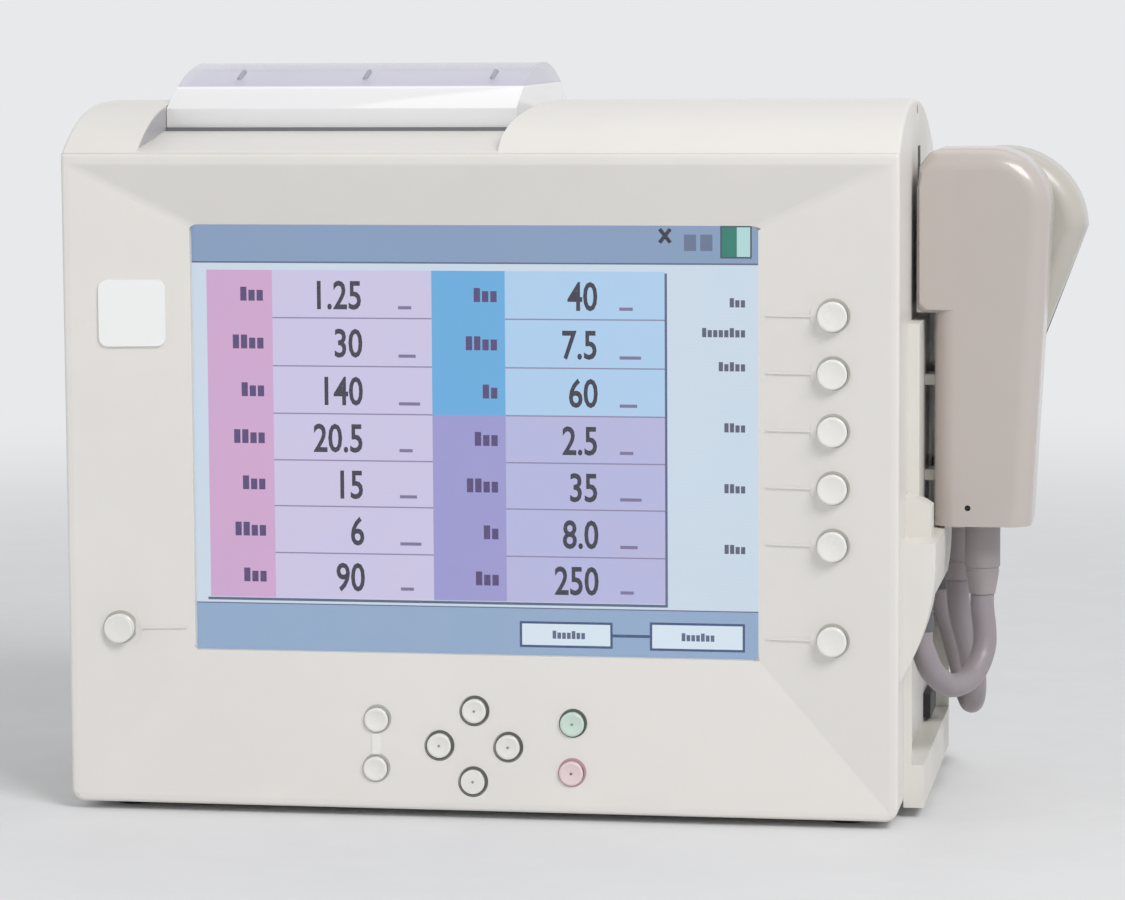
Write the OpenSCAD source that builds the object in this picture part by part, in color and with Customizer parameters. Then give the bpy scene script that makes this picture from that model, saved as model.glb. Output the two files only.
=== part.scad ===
// Bedside in-line blood parameter monitor with a strip printer and two
// hang-on measuring modules. Millimetres, +Z up, front towards -Y.
// The housing is drawn with X = 0 at the middle of the front, Y = 0 at the
// front plane and Z = 0 on the desk; place() then moves the middle of the
// outline to the origin.

/* [Housing] */
// Width of the housing across the front
body_w = 312; // [306:1:324]
// Height of the front from its lower edge to its upper edge
body_h = 243; // [240:1:252]
// Depth from the front plane to the rear edge
body_d = 160; // [158:1:170]
// Wall thickness of the moulded shells
wall = 3; // [2.6:0.1:3.4]
// Depth of the front bezel to its seam
bezel_d = 24; // [23:0.5:26]
// Radius of the lower housing corners
corner_r = 5; // [3:0.5:8]
// Rise of the arched top above the front
arch_h = 19; // [16:0.5:21]
// Distance of the crest of the arched top behind the front
arch_crest = 76; // [72:1:80]
// Width of the flat rim around the sloping front facets
rim_w = 3; // [2:0.5:4]
// Depth of the sloping facets at the display
facet_d = 8; // [6:0.5:9]
// Height of the rubber feet below the housing
foot_h = 3; // [2:0.5:5]
// Diameter of a rubber foot
foot_dia = 16; // [12:1:22]
// Distance of a foot's centre from the housing's sides
foot_inset = 20; // [16:1:30]

/* [Display] */
// Width of the display opening
display_w = 213; // [208:1:216]
// Height of the display opening
display_h = 160; // [156:1:163]
// Sideways place of the display's middle
display_x = -2.6; // [-4:0.2:0]
// Height kept free below the display, beyond a third of the front's free height
display_lift = 29.8; // [28.5:0.1:32.5]
// Thickness of the display window
window_t = 2; // [1.5:0.1:2.5]
// Thickness of the display panel
panel_t = 7; // [5:0.5:7.5]
// Overlap of the window behind the edge of the opening
window_lap = 4; // [3:0.5:5]
// Length of the posts between display frame and main board
post_l = 14; // [10:1:18]

/* [Keys] */
// Diameter of the soft keys beside the display
soft_key_dia = 11; // [9:0.5:12]
// Diameter of the keys below the display
pad_key_dia = 9; // [8:0.5:10]
// Shift of the right soft keys from halfway between display and side
soft_key_shift = 1.6; // [0:0.2:4]
// Height of the uppermost soft key above the desk
soft_key_top = 188; // [184:1:192]
// Pitch of the five upper soft keys
soft_key_pitch = 21; // [19:0.5:22]
// Height of the lowest soft key and of the left key above the desk
low_key_z = 69; // [66:1:74]
// Shift of the left key from halfway between display and side
left_key_shift = -4.4; // [-6:0.2:-2]
// Sideways place of the arrow cross
pad_x = -2; // [-6:0.5:2]
// Height of the arrow cross above the desk
pad_z = 27; // [25:0.5:28.5]
// Distance of the arrow keys from the middle of their cross
arrow_reach = 13; // [12:0.5:14]
// Distance of the key columns from the middle of the cross
column_reach = 37; // [32:1:42]
// Half the distance between the two keys of a column
column_step = 9; // [8:0.5:10]
// Height of a side key above the facet around it
key_stand = 2.5; // [2:0.1:3.5]
// Height of a key below the display above the facet around it
pad_stand = 1.1; // [0.8:0.1:1.6]
// Radial clearance of a key in its bore
key_gap = 0.3; // [0.2:0.05:0.4]
// Travel of a key
key_travel = 1; // [0.6:0.1:1.2]
// Depth of the ring sunk around an arrow key
key_ring_d = 1; // [0.6:0.1:1.4]

/* [Badge] */
// Width of the bare badge plate
badge_w = 25; // [20:1:28]
// Height of the badge plate
badge_h = 25; // [20:1:28]
// Thickness of the badge plate
badge_t = 1; // [0.6:0.1:1.5]
// Shift of the badge from halfway between display and side
badge_shift = 2; // [0:0.2:4]
// Height of the badge's middle above the desk
badge_z = 187.5; // [170:0.5:195]

/* [Printer] */
// Left side of the printer bay
bay_left = -127; // [-130:1:-123]
// Right side of the printer bay
bay_right = 9; // [7:1:14]
// Radius of the arched top's end beside the bay
bay_round = 14; // [8:1:16]
// Distance of the paper slot behind the front
slot_y = 42; // [40:0.5:44]
// Height of the ramp at the front, above the front's upper edge
ramp_low = 1.3; // [0.8:0.1:2]
// Height of the ramp at the slot, above the front's upper edge
ramp_high = 8; // [7:0.5:9]
// Height of the cover's crest above the front's upper edge
cover_rise = 33; // [31:0.5:36]
// Drop of the cover's roof at its front and rear
cover_drop = 16.5; // [14:0.5:18]
// Thickness of the clear cover
cover_t = 2.2; // [1.8:0.1:2.6]
// Gap between the cover and the bay's sides
cover_gap = 0.4; // [0.3:0.1:0.6]
// Radius of the cover's hinge pins
hinge_pin_r = 1.5; // [1.2:0.1:1.8]
// Height of the cover's hinge line above the front's upper edge
hinge_rise = 6.5; // [6:0.5:8]
// Width of a hinge knuckle of the cover
knuckle_w = 10; // [8:1:14]
// Radius of the paper roll
roll_r = 26; // [20:1:27]
// Width of the paper roll
roll_w = 110; // [100:1:112]
// Radius of the paper roll's core
core_r = 6; // [5:0.5:8]
// Radius of the platen roller
platen_r = 7; // [6:0.5:7.5]
// Teeth of the platen gear
gear_teeth = 24; // [20:1:26]
// Teeth of the motor pinion
pinion_teeth = 12; // [10:1:14]
// Tooth size of the printer gears, pitch diameter over teeth
gear_module = 0.5; // [0.45:0.01:0.52]
// Thickness of the paper tub's walls
tub_t = 2.5; // [2:0.1:3]
// Diameter of the printer motor
motor_dia = 14; // [12:0.5:15]

/* [Side dock] */
// Reach of the dock's skirt beyond the housing's side
skirt_out = 12.8; // [11:0.2:14]
// Height of the skirt's upper edge above the desk
skirt_top = 105; // [102:0.5:108]
// Height of the skirt's underside above the desk
skirt_under = 84; // [80:0.5:88]
// Radius of the skirt's lower curve
skirt_r = 90; // [80:1:100]
// Height at which the lower curve starts
skirt_bend = 100; // [98:0.5:101]
// Height of the dock's hanging plate above the desk
dock_top = 183; // [180:0.5:185]
// Thickness of the dock's hanging plate
dock_t = 4.5; // [3.5:0.1:5]
// Height of the dock's foot above the desk
dock_foot_h = 20; // [16:0.5:24]
// Reach of the dock's foot beyond the housing's side
dock_foot_out = 7.5; // [6:0.5:9]
// Height of the lower hook above the desk
hook_low = 122; // [120:0.5:124]
// Distance between the two hooks of a module
hook_pitch = 36; // [32:0.5:38]
// Width of a hook
hook_w = 12; // [10:0.5:14]
// Height of a hook's lip above its arm
hook_lip = 6; // [5:0.5:7]
// Lift that frees a module from its hooks
module_lift = 12; // [11:0.5:12.5]

/* [Modules] */
// Wall thickness of the module shells
module_t = 2.5; // [2:0.1:2.8]
// Gap between the dock's plate and a module
module_gap = 4; // [3.5:0.1:4.5]
// Radius of the modules' rounded front edges
module_edge = 8; // [6:0.5:8.5]
// Distance of the front module behind the housing's front
module_a_y = 50; // [48:0.5:52]
// Depth of the front module's shell
module_a_d = 34; // [32:0.5:36]
// Width of the front module at its top
module_a_w = 43; // [41:0.5:46]
// Narrowing of the front module down to its lower end
module_a_taper = 7; // [5:0.5:9]
// Height of the front module's upper edge above the desk
module_a_top = 247; // [244:0.5:249]
// Radius of the front module's upper outer corner
module_a_r = 22; // [18:0.5:24]
// Gap between the two modules
module_space = 5; // [4:0.5:7]
// Depth of the rear module's shell
module_b_d = 32; // [30:0.5:34]
// Radius of the rear module's round head
module_b_r = 32; // [30:0.5:33]
// Distance of the rear module's head from the housing's side
module_b_out = 31; // [30:0.5:33]
// Height of the rear module's head above the desk
module_b_z = 214; // [212:0.5:216]
// Radius of the rear module's narrow lower end
module_b_low_r = 9; // [8.5:0.5:10]
// Height of the rear module's lower end above the desk
module_b_low = 100; // [98:0.5:103]
// Thickness of the modules' rear covers
module_back_t = 3; // [2.5:0.1:3.5]
// Diameter of the module cables
cable_dia = 9; // [8:0.1:9.6]
// Diameter of the front module's strain relief
relief_dia = 13.4; // [12:0.1:14]
// Diameter of the rear module's slimmer strain relief
relief_b_dia = 11; // [10.4:0.1:11.4]
// Length of the front module's strain relief
relief_a_l = 27.5; // [24:0.5:28]
// Length of the rear module's strain relief
relief_b_l = 22; // [20:0.5:23]
// Diameter of the cable plugs
plug_dia = 9.6; // [8:0.1:10]
// Length of the cable plugs
plug_l = 14; // [12:0.5:15]

/* [Rear and inside] */
// Thickness of the rear panel
rear_t = 2.5; // [2:0.1:3]
// Spacing of the four bracket holes in the rear panel
bracket_pitch = 75; // [70:0.5:80]
// Radius of the bracket holes
bracket_hole_r = 2; // [1.7:0.1:2.5]
// Width of the cooling fan
fan_w = 60; // [50:1:64]
// Depth of the cooling fan
fan_d = 15; // [12:1:18]
// Thickness of the chassis plate
chassis_t = 2; // [1.5:0.1:2.5]
// Width of the power inlet's opening
inlet_w = 24.2; // [23:0.1:25]
// Height of the power inlet's opening
inlet_h = 16.4; // [15:0.1:17]
// Thickness of the main circuit board
board_t = 1.6; // [1.2:0.1:2]

/* [Hidden] */
$fn = 48;

// Small clearances
bore_gap = 0.05;
play = 0.15;
seat_gap = 0.3;
over = 1;

// Outline of the housing
half_w = body_w / 2;
top_z = foot_h + body_h;
arch_rear = body_d - 2;
arch_top = top_z + arch_h;
arch_steps = 40;
function arch_z(y) = y <= arch_crest
  ? top_z + arch_h * (1 - pow((arch_crest - y) / (arch_crest + 1), 3))
  : top_z + arch_h * (1 - pow((y - arch_crest) / (arch_rear - arch_crest), 2));
function arch_line(y0, y1, drop) =
  [for (i = [0:arch_steps]) let (y = y0 + (y1 - y0) * i / arch_steps)
    [y, arch_z(min(y, arch_rear)) - drop]];

// Middle of the whole outline, moved to the origin by place()
reach_right = half_w + module_b_out + module_b_r;
frame_x = (reach_right - half_w) / 2;
lowest_key_z = pad_z - max(arrow_reach, column_step);
display_z = foot_h + (body_h - display_h) / 3 + display_lift + display_h / 2;
front_reach = max(0, pad_stand - facet_d * (lowest_key_z - foot_h - rim_w)
  / (display_z - display_h / 2 - foot_h - rim_w));
frame_y = (body_d - front_reach) / 2;

// Display opening and the facets around it
lcd_left = display_x - display_w / 2;
lcd_right = display_x + display_w / 2;
lcd_low = display_z - display_h / 2;
lcd_high = display_z + display_h / 2;
rim_x = half_w - rim_w;
rim_low = foot_h + rim_w;
rim_high = top_z - rim_w;
function mix(a, b, t) = a + (b - a) * t;
// Share of the way from the rim to the display on each facet
function facet_share(x, z) = min(
  (rim_x + x) / (rim_x + lcd_left), (rim_x - x) / (rim_x - lcd_right),
  (z - rim_low) / (lcd_low - rim_low), (rim_high - z) / (rim_high - lcd_high), 1);
function face_y(x, z) = facet_d * facet_share(x, z);
right_slope = atan(facet_d / (rim_x - lcd_right));
left_slope = atan(facet_d / (rim_x + lcd_left));
window_y = facet_d + wall;
panel_y = window_y + window_t;
frame_y0 = panel_y + panel_t;
frame_t = 1.2;
board_y = frame_y0 + frame_t + post_l;

// Keys: [node name, x, z, diameter]
soft_key_x = (lcd_right + half_w) / 2 + soft_key_shift;
left_key_x = (lcd_left - half_w) / 2 + left_key_shift;
badge_x = (lcd_left - half_w) / 2 + badge_shift;
soft_key_places = [for (i = [0:4]) [soft_key_x, soft_key_top - i * soft_key_pitch],
  [soft_key_x, low_key_z]];
left_key_place = [left_key_x, low_key_z];
menu_upper_place = [pad_x - column_reach, pad_z + column_step];
menu_lower_place = [pad_x - column_reach, pad_z - column_step];
start_place = [pad_x + column_reach, pad_z + column_step];
stop_place = [pad_x + column_reach, pad_z - column_step];
arrow_up_place = [pad_x, pad_z + arrow_reach];
arrow_down_place = [pad_x, pad_z - arrow_reach];
arrow_left_place = [pad_x - arrow_reach, pad_z];
arrow_right_place = [pad_x + arrow_reach, pad_z];
arrow_places = [arrow_up_place, arrow_left_place, arrow_right_place, arrow_down_place];
column_places = [menu_upper_place, menu_lower_place, start_place, stop_place];
side_places = concat(soft_key_places, [left_key_place]);
key_seat_y = facet_d + wall + 2;
key_boss_t = 2.5;
key_flange = 1.2;
key_flange_w = 1.4;
key_dome = 1.8;
switch_h = 1.5;
switch_r = 2.2;
keypad_y = key_seat_y + play + key_flange + key_travel + seat_gap + switch_h;
keypad_edge = 7;
keypad_post = soft_key_dia / 2 + key_flange_w + 2;
pad_post = (arrow_reach + column_reach) / 2;
pointer_w = 0.8;
pointer_h = 0.5;
pointer_end = 2;
pointer_start = 3.2;

// Printer bay
cheek_z = top_z + 2;
function ramp_z(y) = top_z + ramp_low + (ramp_high - ramp_low) * y / slot_y;
cover_x0 = bay_left + cover_gap;
cover_x1 = bay_right - cover_gap;
cover_y0 = slot_y + 1.5;
cover_y1 = body_d - 1.2;
cover_top = top_z + cover_rise;
cover_crest = (cover_y0 + cover_y1) / 2 + 2;
cover_base = ramp_z(slot_y) + 0.6;
function cover_z(y) = cover_top
  - cover_drop * pow((y - cover_crest) / (cover_crest - cover_y0), 2);
hinge_y = body_d - 3;
hinge_z = top_z + hinge_rise;
lug_r = hinge_pin_r + 1.5;
lug_w = 4;
lug_gap = 0.3;
hinge_span = (bay_right - bay_left) / 2 - knuckle_w / 2 - lug_w - lug_gap - 9;
bay_mid = (bay_left + bay_right) / 2;
hinge_places = [bay_mid - hinge_span, bay_mid, bay_mid + hinge_span];
lug_shift = knuckle_w / 2 + lug_gap;

// Paper path
tub_y0 = slot_y + 16;
tub_y1 = body_d - wall;
roll_y = (tub_y0 + tub_y1) / 2 - 5;
roll_z = top_z - 5;
tub_floor = roll_z - roll_r - 5;
tub_rim = cover_base - seat_gap;
paper_x = bay_mid;
paper_x0 = paper_x - roll_w / 2;
paper_x1 = paper_x + roll_w / 2;
paper_gap = 0.3;
paper_t = 0.2;
platen_y = slot_y + 1.2 + paper_gap + platen_r;
platen_z = top_z;
platen_shaft_r = 2.5;
// Straight run of the paper between the roll's and the platen's undersides
run_dy = platen_y - roll_y;
run_dz = platen_z - roll_z;
run_len = sqrt(run_dy * run_dy + run_dz * run_dz);
run_turn = atan2(run_dz, run_dy) + acos((roll_r - platen_r) / run_len);
function round_point(cy, cz, r, a) = [cy + r * cos(a), cz + r * sin(a)];
paper_exit_z = ramp_z(slot_y) + 1.2;
function paper_side(extra) = concat(
  [round_point(roll_y, roll_z, roll_r + paper_gap + extra, run_turn)],
  [for (i = [0:8]) round_point(platen_y, platen_z, platen_r + paper_gap + extra,
    mix(run_turn, 180, i / 8))],
  [[platen_y - platen_r - paper_gap - extra, paper_exit_z]]);

// Print mechanism
head_plate_t = 1.5;
head_left = bay_left + 1;
head_right = bay_right - 6.5;
gear_x0 = head_right + head_plate_t + 0.8;
gear_w = 3.4;
pinion_z = platen_z - gear_module * (gear_teeth + pinion_teeth) / 2;
motor_plate_x = gear_x0 + gear_w + 1;
motor_shaft_r = 1;
motor_shaft_l = 8;
motor_bore_d = 10;
motor_boss_r = 3;
motor_boss_l = 2;
motor_l = 22;
head_reach = 8;
head_lip = 3;
head_bar_drop = 8;
head_base_z = pinion_z - motor_dia / 2 - 3;

// Side dock
dock_y0 = bezel_d;
dock_y1 = body_d - 4;
dock_rib_t = 3;
side_x = half_w;
hook_places_z = [hook_low, hook_low + hook_pitch];
hook_arm_h = 4;
hook_lip_t = 2.2;
tail_gap = 1.5;

// Modules
hang_x = side_x + dock_t + module_gap;
module_a_y1 = module_a_y + module_a_d;
module_b_y = module_a_y1 + module_back_t + module_space;
module_b_y1 = module_b_y + module_b_d;
module_a_mid = (module_a_y + module_a_y1 + module_back_t) / 2;
module_b_mid = (module_b_y + module_b_y1 + module_back_t) / 2;
module_a_low = skirt_top + 1;
module_ear_x = side_x + 2;
module_ear_low = dock_top + 2 + 1;
module_ear_high = module_a_top - 14;
hook_in = hang_x + module_t + 0.5;
relief_a_x = hang_x + 17.5;
relief_b_x = hang_x + 5.5;
relief_wall = 2.1;
module_post_r = 3;
module_post_l = 12;
module_screw_r = 2.2;
module_screw_d = 1.5;
module_chip_w = 16;
module_chip_h = 24;
module_chip_t = 5;
module_chip_x = 4;
module_chip_z = 50;
module_a_board_x = 8;
module_a_board_w = 24;
module_a_board_z = 10;
module_a_board_drop = 22;
module_b_board_w = 32;
module_b_board_h = 42;
module_b_board_drop = 22;
socket_r = plug_dia / 2 + 0.4;
plug_x = side_x + 0.3 + socket_r;
plug_a_y = dock_y0 + 10;
plug_b_y = dock_y1 - 8;
plug_top = skirt_under - 1;
socket_d = 12;

// Routes of the two module cables, from strain relief to plug; X from the
// housing's side
cable_a_route = [
  [26, 68.5, 78.5], [26, 68.5, 73.5], [26.5, 68.5, 69], [27, 68.5, 64], [27, 67.5, 59],
  [26, 65.5, 54.5], [24.5, 62.5, 51], [22.5, 59, 48], [20, 55, 46.5], [17.5, 51, 46],
  [15, 47, 46.5], [13, 43, 48.5], [10.5, 39.5, 51.5], [8.5, 37, 55], [7, 35, 59.5],
  [5.5, 34, 64.5], [5.5, 34, 69]];
cable_b_route = [
  [14, 109.5, 78], [14, 109.5, 72.5], [14.5, 109.5, 67], [15.5, 109.5, 61.5],
  [17, 109.5, 56], [18.5, 109.5, 50.5], [19.5, 110, 45], [20.5, 111, 40], [20.5, 113.5, 35],
  [20, 117, 31], [19, 122, 28], [18, 127.5, 27], [17, 133, 27.5], [15.5, 138, 29.5],
  [14.5, 142, 32.5], [13, 145.5, 37], [11.5, 147.5, 42], [10, 148, 47.5], [8.5, 148, 53],
  [6.5, 148, 58.5], [5.5, 148, 64], [5.5, 148, 69]];
cable_sides = 10;

// Rear panel and what it carries
rear_y1 = body_d - wall;
rear_y0 = rear_y1 - rear_t;
rear_open_x = half_w - 16;
rear_open_low = foot_h + 10;
rear_open_high = tub_floor - 8;
rear_lap = 5;
screw_r = 2;
screw_head_r = 3.6;
screw_head_t = 1.8;
screw_inset = 9;
fan_x = half_w - fan_w / 2 - 38;
fan_z = 128;
fan_bore_r = fan_w / 2 - 2;
fan_hub_r = fan_w / 5;
fan_pin_r = 1.5;
fan_corner = 3;
fan_strut_t = 2;
fan_strut_w = 3;
fan_blade_t = 1.4;
fan_blade_w = 12;
fan_blade_turn = 35;
fan_blades = 7;
fan_slots = 4;
fan_slot_w = 3;
fan_slot_pitch = 6;
fan_slot_inset = 3;
speaker_r = 25;
speaker_inset = 31;
speaker_x = speaker_r + speaker_inset - half_w;
speaker_z = 120;
speaker_l = 16;
speaker_flange_t = 4;
speaker_rim = 3;
speaker_cone_d = 3;
speaker_slots = 3;
speaker_slot_l = 28;
speaker_slot_w = 2;
speaker_slot_pitch = 5;
bracket_z = 120;
bracket_boss_r = 4.5;
bracket_boss_l = 6;
inlet_x = half_w - 56;
inlet_z = 48;
inlet_flange = 4;
inlet_flange_t = 2.5;
inlet_body_l = 24;
inlet_depth = 16;
switch_x = inlet_x - inlet_w / 2 - 19;
rocker_w = 12;
rocker_l = 18;
rocker_tilt = 10;
rocker_pin_r = 1.2;
rocker_y = rear_y1 - 1.5;
port_z = 48;
port_x0 = -40;
port_pitch = 42;
port_body_d = 8;
port_lip = 2.4;
port_flange_w = 30;
port_flange_h = 12;
port_flange_t = 4;
jack_x = -85;
jack_w = 12;
jack_h = 9;
jack_d = 12;

// Inside
chassis_z = foot_h + wall;
deck_z = chassis_z + chassis_t;
chassis_side = 6;
supply_w = 100;
supply_x = half_w - supply_w / 2 - 34;
supply_y0 = board_y + board_t + 8;
supply_d = 62;
battery_w = 110;
battery_x = battery_w / 2 + 16 - half_w;
battery_d = 70;
battery_h = 46;
battery_groove = 1;
battery_plug_l = 6;
battery_plug_w = 16;
battery_plug_h = 8;
battery_plug_drop = 6;
battery_plug_inset = 10;
supply_board_t = 2;
supply_edge = 8;
transformer_w = 34;
transformer_d = 32;
transformer_h = 28;
capacitor_dia = 12;
capacitor_h = 24;
capacitor_pitch = 14;
fin_count = 5;
fin_t = 2;
fin_d = 20;
fin_h = 26;
fin_pitch = 8;
fin_inset = 6;
board_hole_r = 1.6;
board_edge = 12;
chip_w = 36;
chip_t = 4;
chip_pitch = 18;
memory_w = 12;
memory_l = 20;
memory_t = 1.6;
memory_x = 20;
memory_inset = 10;
driver_w = 12;
driver_t = 2;
driver_x = 60;
driver_z = 10;
header_long = 50;
header_short = 40;
header_h = 8;
header_z = 6;
header_edge = 10;
screw_rows = [-1, 0, 1];

module place() {
  translate([-frame_x, -frame_y, 0]) children();
}

// Extrudes a Y-Z outline along X
module along_x(x0, x1) {
  translate([x0, 0, 0]) rotate([90, 0, 90]) linear_extrude(x1 - x0) children();
}

// Extrudes an X-Z outline along Y
module along_y(y0, y1) {
  translate([0, y1, 0]) rotate([90, 0, 0]) linear_extrude(y1 - y0) children();
}

// Box from its lowest corner to its highest corner
module span(a, b) {
  translate(a) cube(b - a);
}

// Cylinder along Y between two depths
module bar_y(x, z, y0, y1, r) {
  translate([x, y1, z]) rotate([90, 0, 0]) cylinder(r = r, h = y1 - y0);
}

// Cylinder along X between two sides
module bar_x(x0, x1, y, z, r) {
  translate([x0, y, z]) rotate([0, 90, 0]) cylinder(r = r, h = x1 - x0);
}

// Rectangle with round corners, exact arcs
module round_rect(w, h, r) {
  translate([-w / 2 + r, -h / 2]) square([w - 2 * r, h]);
  translate([-w / 2, -h / 2 + r]) square([w, h - 2 * r]);
  for (x = [-1, 1], y = [-1, 1])
    translate([x * (w / 2 - r), y * (h / 2 - r)]) circle(r = r);
}

// Closed solid through a list of rings that have the same number of points
module skin(rings) {
  n = len(rings[0]);
  m = len(rings);
  polyhedron(
    points = [for (ring = rings) each ring],
    faces = concat(
      [[for (i = [0:n - 1]) i]],
      [for (k = [0:m - 2], i = [0:n - 1], half = [0, 1])
        let (j = (i + 1) % n, a = k * n, b = (k + 1) * n)
        half == 0 ? [a + i, b + i, b + j] : [a + i, b + j, a + j]],
      [[for (i = [n - 1:-1:0]) (m - 1) * n + i]]));
}

// Outline of the housing seen from the front, round at its lower corners
module front_outline() {
  translate([-half_w, foot_h + corner_r]) square([body_w, body_h + arch_h]);
  translate([-half_w + corner_r, foot_h]) square([body_w - 2 * corner_r, 2 * corner_r]);
  for (s = [-1, 1])
    translate([s * (half_w - corner_r), foot_h + corner_r]) circle(r = corner_r);
}

// Outer form of the housing between two depths
module housing_form(y0, y1) {
  intersection() {
    along_x(-half_w, half_w) polygon(concat([[y0, foot_h]],
      arch_line(y0, min(y1, arch_rear), 0),
      y1 > arch_rear ? [[y1, top_z]] : [], [[y1, foot_h]]));
    along_y(y0, y1) front_outline();
  }
}

// Hollow of the housing between two depths
module housing_hollow(y0, y1) {
  along_x(-half_w + wall, half_w - wall) polygon(concat([[y0, foot_h + wall]],
    arch_line(y0, y1, wall), [[y1, foot_h + wall]]));
}

// Ramp and cheeks of the printer bay, before the bay is cut
module bay_block(y0, y1) {
  ramp_end = min(y1, slot_y);
  intersection() {
    housing_form(y0, y1);
    along_x(bay_left - wall, bay_right + bay_round + wall) polygon(concat(
      [[y0, ramp_z(y0) - wall], [ramp_end, ramp_z(ramp_end) - wall]],
      y1 > slot_y ? [[ramp_end, cheek_z], [y1, cheek_z]] : [],
      [[y1, arch_top + over], [y0, arch_top + over]]));
  }
}

// Space of the printer bay above its ramp, behind the slot and over the rear wall
module bay_space() {
  intersection() {
    along_y(-over, body_d + over) {
      translate([bay_left, 0]) square([bay_right - bay_left, cover_top + 20]);
      difference() {
        translate([bay_right - 0.01, arch_top - bay_round])
          square([bay_round + 0.01, bay_round + 20]);
        translate([bay_right + bay_round, arch_top - bay_round]) circle(r = bay_round);
      }
    }
    along_x(bay_left - over, bay_right + bay_round + over) polygon([
      [-over, ramp_z(-over)], [slot_y, ramp_z(slot_y)], [slot_y, tub_floor - 20],
      [body_d - wall, tub_floor - 20], [body_d - wall, top_z], [body_d + over, top_z],
      [body_d + over, cover_top + 20], [-over, cover_top + 20]]);
  }
}

// Sloping facets of the front, cut down to a margin around the display
module facet_cut(shift, m) {
  function ring(t) = [
    [mix(-rim_x, lcd_left - m, t), shift + facet_d * t, mix(rim_low, lcd_low - m, t)],
    [mix(rim_x, lcd_right + m, t), shift + facet_d * t, mix(rim_low, lcd_low - m, t)],
    [mix(rim_x, lcd_right + m, t), shift + facet_d * t, mix(rim_high, lcd_high + m, t)],
    [mix(-rim_x, lcd_left - m, t), shift + facet_d * t, mix(rim_high, lcd_high + m, t)]];
  skin([ring(1), ring(-over / facet_d)]);
}

// Outline of the skirt beside the housing
module skirt_outline() {
  intersection() {
    translate([side_x - wall, 0]) square([skirt_out + wall, skirt_top]);
    union() {
      translate([side_x + skirt_out - skirt_r, skirt_bend]) circle(r = skirt_r, $fn = 96);
      translate([side_x - wall, skirt_bend]) square([skirt_out + wall, skirt_top - skirt_bend]);
    }
    translate([side_x - wall, foot_h + 40]) square([skirt_out + wall, skirt_top]);
  }
}

// Raised line on a facet, from beside the display's edge towards a key
module pointer_line(edge, slope, key_x, z) {
  x = edge + sign(edge) * pointer_start;
  reach = abs(key_x - x) - soft_key_dia / 2 - pointer_end;
  translate([x, face_y(x, z), z]) mirror([edge < 0 ? 1 : 0, 0, 0]) rotate([0, 0, -slope])
    translate([0, -pointer_h, -pointer_w / 2]) cube([reach, 2 * pointer_h, pointer_w]);
}

module front_bezel() place() color([0.89, 0.89, 0.87]) {
  difference() {
    union() {
      difference() {
        housing_form(0, bezel_d);
        facet_cut(0, 0);
        difference() {
          housing_hollow(wall, bezel_d + over);
          facet_cut(wall, window_lap + frame_t + 1);
        }
      }
      bay_block(0, bezel_d);
      along_y(facet_d, bezel_d) skirt_outline();
      for (p = side_places)
        bar_y(p[0], p[1], face_y(p[0], p[1]) + 1, key_seat_y,
          soft_key_dia / 2 + key_gap + key_boss_t);
      for (p = concat(arrow_places, column_places))
        bar_y(p[0], p[1], face_y(p[0], p[1]) + 1.6, key_seat_y,
          pad_key_dia / 2 + key_gap + key_boss_t - 1);
      for (p = soft_key_places)
        pointer_line(lcd_right, right_slope, soft_key_x, p[1]);
      pointer_line(lcd_left, left_slope, left_key_x, low_key_z);
      for (p = side_places)
        bar_y(p[0] + keypad_post, p[1], face_y(p[0] + keypad_post, p[1]) + 1, keypad_y, 1.6);
      for (s = [-1, 1])
        bar_y(pad_x + s * pad_post, pad_z, face_y(pad_x, pad_z) + 1, keypad_y, 1.6);
    }
    bay_space();
    span([lcd_left, -over, lcd_low], [lcd_right, bezel_d, lcd_high]);
    for (p = side_places)
      bar_y(p[0], p[1], -over, key_seat_y + over, soft_key_dia / 2 + key_gap);
    for (p = concat(arrow_places, column_places))
      bar_y(p[0], p[1], -over, key_seat_y + over, pad_key_dia / 2 + key_gap);
    for (p = arrow_places)
      bar_y(p[0], p[1], -over, face_y(p[0], p[1]) + key_ring_d, pad_key_dia / 2 + 1.2);
  }
}

module rear_housing() place() color([0.88, 0.88, 0.86]) {
  difference() {
    union() {
      difference() {
        housing_form(bezel_d, body_d);
        housing_hollow(bezel_d - over, rear_y1);
      }
      bay_block(bezel_d, body_d);
    }
    bay_space();
    span([-rear_open_x, rear_y1 - over, rear_open_low],
      [rear_open_x, body_d + over, rear_open_high]);
    for (p = rear_screw_places()) {
      bar_y(p[0], p[1], rear_y1 - over, body_d + over, screw_r);
      bar_y(p[0], p[1], body_d - screw_head_t, body_d + over, screw_head_r);
    }
    bar_x(half_w - wall - over, half_w + over, arch_crest + 7, arch_top - 5.5, screw_r);
  }
  for (x = hinge_places, s = [-1, 1])
    difference() {
      along_x(x + s * (lug_shift + lug_w / 2) - lug_w / 2,
        x + s * (lug_shift + lug_w / 2) + lug_w / 2) union() {
        translate([hinge_y, hinge_z]) circle(r = lug_r);
        translate([hinge_y - lug_r, top_z]) square([2 * lug_r, hinge_rise]);
      }
      bar_x(x - body_w, x + body_w, hinge_y, hinge_z, hinge_pin_r);
    }
}

// Screws of the rear panel, as [x, z]
function rear_screw_places() =
  [for (s = screw_rows, z = [rear_open_low - 3.5, rear_open_high + 3.5])
    [s * (rear_open_x - screw_inset), z]];

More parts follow.
